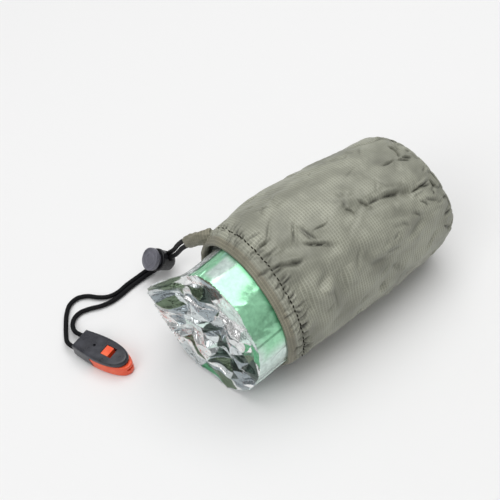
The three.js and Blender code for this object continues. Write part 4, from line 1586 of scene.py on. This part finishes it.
@dataclass
class CordLock:
    """The barrel cord lock: a tapered barrel and its sprung button."""

    face: Triple = (-80.0, 90.5, 19.3)
    axis: Triple = (0.7526, -0.0336, -0.6572)
    cord_direction: Triple = (-0.62, 0.46, -0.64)
    length: float = 19.0
    radius: float = 7.6
    lip_space: float = 2.8
    travel: float = 2.5
    band_length: float = 1.9
    band_step: float = 0.45
    neck_from: float = 2.1
    neck_to: float = 3.3
    neck_step: float = 0.6
    taper_radius: float = 6.0
    end_ring: float = 0.35
    end_step: float = 0.2
    end_bevel: float = 0.15
    end_radius: float = 4.6
    end_length: float = 2.3
    bore_radius: float = 5.0
    floor: float = 0.9
    gap: float = 0.3
    cap_length: float = 3.0
    dish: float = 0.5
    dish_slope: float = 0.3
    ring_depth: float = 0.22
    rim: float = 1.2
    hole_at: float = 12.4
    hole_width: float = 7.4
    hole_length: float = 3.8
    hole_corner: float = 1.4
    barrel_ease: float = 0.6
    button_ease: float = 0.5
    sharp_deg: float = 35.0
    facets: int = 72
    # The groove on the button's face, in shares of the dish's radius
    ring_shares: tuple[float, ...] = (0.52, 0.56, 0.62, 0.66)

    def basis(self) -> np.ndarray:
        """The lock's own axes.

        Returns:
            The cord's direction, the one across it and the one along the lock.
        """
        along = unit(np.array(self.axis))
        cord = np.array(self.cord_direction)
        cord = unit(cord - along * (along @ cord))
        return np.array((cord, np.cross(along, cord), along))

    def turned(self, name: str, profile: Sequence[Pair]) -> bpy.types.Object:
        """A turned solid.

        Args:
            name: the piece's name.
            profile: radius and height of each point of its outline, from axis to axis.

        Returns:
            The solid, where the lock lies.
        """
        rows = np.array(profile)
        angle = ring_angles(self.facets)[None, :, None]
        cord, across, along = self.basis()
        rings = (
            np.array(self.face)
            + rows[:, 0, None, None] * (np.cos(angle) * cord + np.sin(angle) * across)
            + rows[:, 1, None, None] * along
        )
        return GridMesh(name, rings).build(self.sharp_deg)

    def hole(self, low: float, high: float) -> bpy.types.Object:
        """A round-ended slot through the lock, as wide as the cord's hole.

        Args:
            low: its near side along the axis.
            high: its far side.

        Returns:
            The cutting solid.
        """
        cord, across, along = self.basis()
        corner, middle = self.hole_corner, (low + high) / 2
        outline = []
        for sign_a, sign_h, start in ((1, 1, 0), (-1, 1, 90), (-1, -1, 180), (1, -1, 270)):
            for turn in np.radians(np.arange(start, start + 91, 15)):
                at_a = sign_a * (self.hole_width / 2 - corner) + corner * math.cos(turn)
                at_h = middle + sign_h * ((high - low) / 2 - corner) + corner * math.sin(turn)
                outline.append(np.array(self.face) + at_a * across + at_h * along)
        centre = np.array(self.face) + middle * along
        return bar("hole", np.array(outline), centre, cord, -2 * self.radius, 2 * self.radius)

    @staticmethod
    def eased(points: Sequence[Pair], bend: float) -> list[Pair]:
        """Rounds the corners of an outline.

        Args:
            points: the outline's corners, the first and last on the axis.
            bend: how far from each corner the round starts.

        Returns:
            The outline with each corner as a short curve.
        """
        p = np.array(points)
        made = [tuple(p[0])]
        for before, here, after in zip(p[:-2], p[1:-1], p[2:]):
            back, on = before - here, after - here
            reach = min(bend, np.linalg.norm(back) / 2.2, np.linalg.norm(on) / 2.2)
            start, end = here + unit(back) * reach, here + unit(on) * reach
            for t in (0, 0.25, 0.5, 0.75, 1):
                made.append(tuple((1 - t) ** 2 * start + 2 * t * (1 - t) * here + t**2 * end))
        return made + [tuple(p[-1])]

    def barrel(self) -> bpy.types.Object:
        """The barrel: a tapered cup with moulded rings, and a hole across it for the strands.

        Returns:
            The barrel.
        """
        lip = self.cap_length + self.lip_space
        floor, end = self.length - self.floor, self.length - self.end_length
        cup = self.turned("cord_lock_housing", self.eased((
            (0, floor), (self.bore_radius, floor), (self.bore_radius, lip), (self.radius, lip),
            (self.radius, lip + self.band_length), (self.radius - self.band_step, lip + self.neck_from),
            (self.radius - self.neck_step, lip + self.neck_to), (self.taper_radius + self.end_ring, end),
            (self.taper_radius - self.end_step, end + self.end_bevel), (self.end_radius, self.length),
            (0, self.length),
        ), self.barrel_ease))
        half = self.hole_length / 2
        combine(cup, self.hole(self.hole_at - half, self.hole_at + half), Step.CUT, self.sharp_deg)
        return cup

    def button(self) -> bpy.types.Object:
        """The button: a dished cap with a ring on its face, on a stem with a slot for the strands.

        Returns:
            The button.
        """
        stem_end = self.length - self.floor - self.travel - self.gap
        stem = self.bore_radius - self.gap
        dish, low = self.radius - self.rim, self.dish - self.ring_depth
        ring = [share * dish for share in self.ring_shares]
        cap = self.turned("cord_lock_plunger", self.eased((
            (0, self.dish), (ring[0], self.dish), (ring[1], low), (ring[2], low), (ring[3], self.dish),
            (dish, self.dish), (dish + self.dish_slope, 0), (self.radius, 0), (self.radius, self.cap_length),
            (stem, self.cap_length), (stem, stem_end), (0, stem_end),
        ), self.button_ease))
        half = self.hole_length / 2
        slot = self.hole(self.hole_at - half - self.travel, self.hole_at + half)
        combine(cap, slot, Step.CUT, self.sharp_deg)
        return cap

    def build(self, black: bpy.types.Material, painted_reflection_grey: bpy.types.Material) -> list[bpy.types.Object]:
        """Builds the lock.

        Args:
            black: the barrel's finish.
            painted_reflection_grey: the button's finish, black acetal painted lighter, as a painted
                reflection.

        Returns:
            The barrel and the button.
        """
        barrel = show(self.barrel(), black)
        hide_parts("cord_lock_barrel")
        button = show(self.button(), painted_reflection_grey, BUTTON_BODY)
        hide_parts("cord_lock_button")
        return [barrel, button]


# The whistle

@dataclass
class Whistle:
    """The whistle on the drawcord: a black top and blunt end over an orange body."""

    blunt: Triple = (-146.3, 74.0, 0.0)
    axis: Pair = (0.33, -0.944)
    length: float = 41.2
    height: float = 11.5
    blunt_half: float = 7.2
    wide_half: float = 8.8
    wide_at: float = 18.0
    plate_from: float = 8.0
    core_start: float = 14.3
    core_slant: float = 3.0
    core_inset: float = 0.2
    core_ease: float = 0.8
    top_ease: float = 1.9
    crown: float = 0.35
    gap: float = 0.3
    window_from: float = 20.8
    window_to: float = 29.0
    window_half: float = 3.7
    window_step: float = 0.68
    slot_z: float = 4.4
    slot_half: float = 2.7
    slot_height: float = 1.8
    slot_depth: float = 5.0
    plate_drawn: float = 2.6
    samples: int = 22
    pin_at: Pair = (13.8, -0.6)
    pin_radius: float = 1.0
    pin_depth: float = 1.5
    sockets: tuple[Triple, ...] = ((-151.4, 72.3, 5.8), (-141.5, 73.0, 5.8))
    socket_radius: float = 1.9
    socket_depth: float = 6.0
    socket_lead: float = 4.0
    sharp_deg: float = 40.0
    cut_sharp_deg: float = 38.0

    def outline(self, inset: float, drawn: float = 0.0) -> np.ndarray:
        """The outline seen from above, its blunt end at x = 0 and its tip along +X.

        Args:
            inset: how far it is drawn in.
            drawn: how much further its tip is drawn in.

        Returns:
            Points around it.
        """
        blunt, wide, tip = self.blunt_half - inset, self.wide_half - inset, self.length - inset - drawn
        at = self.wide_at
        curves = (
            ((inset, -blunt), (at * 0.4, -blunt * 1.12), (at * 0.7, -wide), (at, -wide)),
            ((at, -wide), (at * 1.62, -wide), (tip, -wide * 0.72), (tip, 0)),
        )
        t = np.linspace(0, 1, self.samples)[:, None]
        made = []
        for a, b, c, d in (tuple(np.array(p, dtype=float) for p in curve) for curve in curves):
            curve = (1 - t) ** 3 * a + 3 * t * (1 - t) ** 2 * b + 3 * t**2 * (1 - t) * c + t**3 * d
            made.append(curve[:-1])
        lower = np.vstack(made + [np.array(((tip, 0.0),))])
        upper = lower[-2::-1] * (1, -1)
        side = np.column_stack((np.full(9, inset), np.linspace(blunt, -blunt, 11)[1:-1]))
        return np.vstack((lower, upper, side))

    def basis(self) -> tuple[np.ndarray, np.ndarray]:
        """The directions along the whistle and across it."""
        along = unit(np.array((*self.axis, 0.0)))
        return along, np.cross(UP, along)

    def placed_rings(self, rings: Sequence) -> np.ndarray:
        """Turns points from the whistle's own axes to where it lies.

        Args:
            rings: the points, in mm.

        Returns:
            The same points, in mm in the sack's own axes.
        """
        along, across = self.basis()
        own = np.asarray(rings)
        return np.array(self.blunt) + own[..., :1] * along + own[..., 1:2] * across + own[..., 2:] * UP

    def slab(self, name: str, rows: Sequence[Pair], drawn: float = 0.0) -> bpy.types.Object:
        """A solid of the outline through rows of inset and height.

        Args:
            name: the piece's name.
            rows: inset and height of each row, from the bottom up.
            drawn: how much further the tip is drawn in.

        Returns:
            The solid.
        """
        middle = np.array((self.wide_at, 0.0))
        (low_inset, low), (high_inset, high) = rows[0], rows[-1]
        levels = [(low_inset, low, share) for share in (0.0, 0.5)]
        levels += [(inset, z, 1.0) for inset, z in rows]
        for share in (0.97, 0.9, 0.8, 0.6, 0.3, 0.0):
            levels.append((high_inset, high + self.crown * (1 - share**2), share))
        rings = []
        for inset, z, share in levels:
            ring = middle + (self.outline(inset, drawn) - middle) * share
            rings.append(np.column_stack((ring, np.full(len(ring), z))))
        return GridMesh(name, self.placed_rings(rings)).build(self.sharp_deg)

    def block(self, low: Sequence[float], high: Sequence[float], slant: float = 0.0) -> bpy.types.Object:
        """A box in the whistle's own axes, its lower near edge pushed on by slant.

        Args:
            low: its lower corner.
            high: its upper corner.
            slant: how much further its near side starts at the bottom than at the top.

        Returns:
            The cutting solid.
        """
        (x0, y0, z0), (x1, y1, z1) = low, high
        corners = [(x, y, z) for z in (z0, z1) for x, y in ((x0, y0), (x1, y0), (x1, y1), (x0, y1))]
        corners = [(x + (slant if z == z0 and x == x0 else 0), y, z) for x, y, z in corners]
        faces = [(3, 2, 1, 0), (4, 5, 6, 7), (0, 1, 5, 4), (1, 2, 6, 5), (2, 3, 7, 6), (3, 0, 4, 7)]
        mesh = bpy.data.meshes.new("block")
        mesh.from_pydata(placed(self.placed_rings(corners)).tolist(), [], faces)
        return finished(mesh)

    @staticmethod
    def eased_rows(low: float, high: float, inset: float, ease: float) -> list[Pair]:
        """Rows of inset and height whose upper and lower edges are rounded.

        Args:
            low: the bottom's height.
            high: the top's height.
            inset: how far the whole outline is drawn in.
            ease: the edges' radius.

        Returns:
            The rows, from the bottom up.
        """
        turns = np.linspace(0, math.pi / 2, 7)
        lower = [(inset + ease * (1 - math.sin(t)), low + ease * (1 - math.cos(t))) for t in turns]
        upper = [(inset + ease * (1 - math.cos(t)), high - ease * (1 - math.sin(t))) for t in turns]
        return lower + upper

    def top(self) -> bpy.types.Object:
        """The black piece: full height at the blunt end, a plate with a window over the core.

        Returns:
            The piece.
        """
        reach, wide, window = self.length + PAST, 2 * self.wide_half, self.window_half
        rows = self.eased_rows(0, self.height - self.crown, 0, self.top_ease)
        top = self.slab("whistle_top", rows, self.plate_drawn)
        slant = self.core_slant * (self.plate_from + PAST) / self.plate_from
        under_plate = self.block((self.core_start, -wide, -PAST), (reach, wide, self.plate_from), slant)
        combine(top, under_plate, Step.CUT)
        combine(top, self.block(
            (self.window_from, -window, self.plate_from - PAST), (self.window_to, window, self.height + PAST)
        ), Step.CUT)
        combine(top, self.pin_hole(), Step.CUT)
        for mouth in self.sockets:
            combine(top, self.socket(mouth), Step.CUT, self.cut_sharp_deg)
        return top

    def socket(self, mouth: Sequence[float]) -> bpy.types.Object:
        """The round hole that a strand enters the blunt end by.

        Args:
            mouth: the middle of the hole, in mm in the sack's own axes.

        Returns:
            The cutting solid.
        """
        along, across = self.basis()
        angle = ring_angles(24)[:, None]
        outline = np.array(mouth) + self.socket_radius * (np.cos(angle) * across + np.sin(angle) * UP)
        return bar("socket", outline, mouth, along, -self.socket_lead, self.socket_depth)

    def pin_hole(self) -> bpy.types.Object:
        """The small round hole in the top.

        Returns:
            The cutting solid.
        """
        angle = ring_angles(20)[:, None]
        middle = np.array((*self.pin_at, 0.0))
        outline = middle + self.pin_radius * np.hstack((np.cos(angle), np.sin(angle), 0 * angle))
        low, high = self.height - self.pin_depth, self.height + PAST
        return bar("pin_hole", self.placed_rings(outline), self.placed_rings(middle), UP, low, high)

    def body(self) -> bpy.types.Object:
        """The orange piece: the lower body, its block in the window and the sound slot at the tip.

        Returns:
            The piece.
        """
        wide, reach = 2 * self.wide_half, self.length + PAST
        top = self.plate_from - self.gap - self.crown
        body = self.slab("whistle_body", self.eased_rows(0, top, self.core_inset, self.core_ease))
        blunt_end = self.block((-PAST, -wide, -PAST), (self.core_start + self.gap, wide, self.height))
        combine(body, blunt_end, Step.CUT)
        start, end = self.window_from + self.gap, self.window_to - self.gap
        half = self.window_half - self.gap
        step = self.window_from + (self.window_to - self.window_from) * self.window_step
        combine(body, self.block((step, -half, self.slot_z), (end, half, self.height)), Step.CUT)
        raised = self.block((start, -half, self.slot_z), (step, half, self.height - self.gap))
        combine(body, raised, Step.JOIN)
        low, high = self.slot_z - self.slot_height / 2, self.slot_z + self.slot_height / 2
        slot_from = self.length - self.slot_depth
        slot = self.block((slot_from, -self.slot_half, low), (reach, self.slot_half, high))
        combine(body, slot, Step.CUT, self.cut_sharp_deg)
        return body

    def build(self, black: bpy.types.Material, orange: bpy.types.Material) -> list[bpy.types.Object]:
        """Builds the whistle.

        Args:
            black: the top's finish.
            orange: the body's finish.

        Returns:
            The top and the body.
        """
        top = show(self.top(), black)
        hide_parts("whistle_shell")
        body = show(self.body(), orange)
        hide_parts("whistle_core")
        return [top, body]


# The studio

@dataclass
class Studio:
    """The camera at the photograph's angle, the pale floor and the soft lights."""

    target: Triple = (-21.257, 27.984, 42.336)
    azimuth_deg: float = -30.245
    elevation_deg: float = 46.337
    roll_deg: float = 10.135
    distance: float = 545.0
    lens: float = 64.0
    key_place: Triple = (0.4, 0.2, 1.9)
    key_size: Pair = (1.8, 2.0)
    key_power: float = 25.0
    side_place: Triple = (-1.7, -0.35, 1.7)
    side_size: Pair = (1.4, 1.6)
    side_power: float = 14.0
    floor_colour: str = "#ededed"
    floor_roughness: float = 0.9
    floor_reach: float = 4.0  # metres, like the next two
    floor_drop: float = 0.0002
    aim: Triple = (0.0, 0.0, 0.04)
    sky: Pair = (0.15, 0.52)  # the light from the horizon and from overhead
    overhead: float = 0.8  # the height at which the light from overhead is reached

    def camera(self) -> None:
        """Makes the camera."""
        degrees = (self.azimuth_deg, self.elevation_deg, self.roll_deg)
        azimuth, elevation, roll = (math.radians(deg) for deg in degrees)
        back = Vector((
            math.cos(elevation) * math.sin(azimuth),
            -math.cos(elevation) * math.cos(azimuth),
            math.sin(elevation),
        ))
        level = Vector((math.cos(azimuth), math.sin(azimuth), 0))
        right = level * math.cos(roll) - back.cross(level) * math.sin(roll)
        data = bpy.data.cameras.new("camera")
        data.lens, data.clip_start, data.clip_end = self.lens, 0.01, 50.0
        obj = in_scene("camera", data)
        turn = Matrix((right, back.cross(right), back)).transposed().to_4x4()
        obj.matrix_world = Matrix.Translation((Vector(self.target) + back * self.distance) * MM) @ turn
        bpy.context.scene.camera = obj

    def light(self, name: str, place: Sequence[float], size: Sequence[float], power: float) -> None:
        """Adds one soft box that points at the piece.

        Args:
            name: the light's name.
            place: where it hangs, in metres.
            size: its width and height, in metres.
            power: its power, in watts.
        """
        data = bpy.data.lights.new(name, "AREA")
        data.shape, data.size, data.size_y, data.energy = "RECTANGLE", size[0], size[1], power
        obj = in_scene(name, data)
        obj.location = place
        obj.rotation_euler = (Vector(place) - Vector(self.aim)).to_track_quat("Z", "Y").to_euler()

    def floor(self) -> None:
        """Makes the floor, a little under the piece."""
        reach = self.floor_reach
        corners = [(-reach, -reach, 0), (reach, -reach, 0), (reach, reach, 0), (-reach, reach, 0)]
        mesh = bpy.data.meshes.new("floor")
        mesh.from_pydata(corners, [], [(0, 1, 2, 3)])
        obj = in_scene("floor", mesh)
        obj.location.z = -self.floor_drop
        paint, tree, surface = new_finish("matt_white_paint")
        fill(tree, surface, {"Base Color": linear(self.floor_colour), "Roughness": self.floor_roughness})
        mesh.materials.append(paint)

    def sky_light(self) -> None:
        """Makes the even white light all round, brighter from overhead."""
        world = bpy.data.worlds.new("studio")
        bpy.context.scene.world = world
        world.use_nodes = True
        tree = world.node_tree
        look = add(tree, "ShaderNodeTexCoord").outputs["Generated"]
        height = add(tree, "ShaderNodeSeparateXYZ", {0: look}).outputs["Z"]
        strength = ranged(tree, height, (0.0, self.overhead), self.sky)
        fill(tree, tree.nodes["Background"], {"Color": (1, 1, 1, 1), "Strength": strength})

    def build(self) -> None:
        """Makes the floor, the lights and the sky."""
        self.floor()
        self.light("key", self.key_place, self.key_size, self.key_power)
        self.light("side", self.side_place, self.side_size, self.side_power)
        self.sky_light()
        bpy.context.scene.view_settings.view_transform = "Standard"


def main() -> None:
    """Builds the camera, the drawcord and its pieces, the sack, the film bag and the studio."""
    logging.basicConfig(level=logging.INFO, format="%(name)s %(message)s")
    studio = Studio()
    studio.camera()
    cloth = RipstopNylon().material()
    film = MetallisedFilm().material()
    yarn = BraidedPolyester("polyester_cord_braided", "#050507", "#151519", 0.25).material()
    thread = BraidedPolyester("polyester_thread_twisted", "#25241d", "#55534a", 0.3).material()
    black = MouldedPlastic("acetal_black_moulded", "#101014", "#26262c", 0.32, grain=0.2).material()
    # The button is black acetal like the barrel; its lighter colour is a painted reflection of the sky
    painted_reflection_grey = MouldedPlastic("acetal_black_painted_reflection", "#66666f", "#7c7c86", 0.36, grain=0.2).material()
    whistle_black = MouldedPlastic("abs_black_moulded", "#2e2f35", "#4a4c54", 0.28, grain=0.25).material()
    orange = MouldedPlastic("abs_orange_moulded", "#f0562c", "#ff7a4c", 0.36, grain=0.12, coat=0.2).material()
    carried = CordLock().build(black, painted_reflection_grey) + Whistle().build(whistle_black, orange)
    Drawcord().build(yarn, carried)
    FilmBag().build(film)
    StuffSack().build(cloth, thread)
    studio.build()
    log.info("all pieces are in place")


if __name__ == "__main__":
    main()
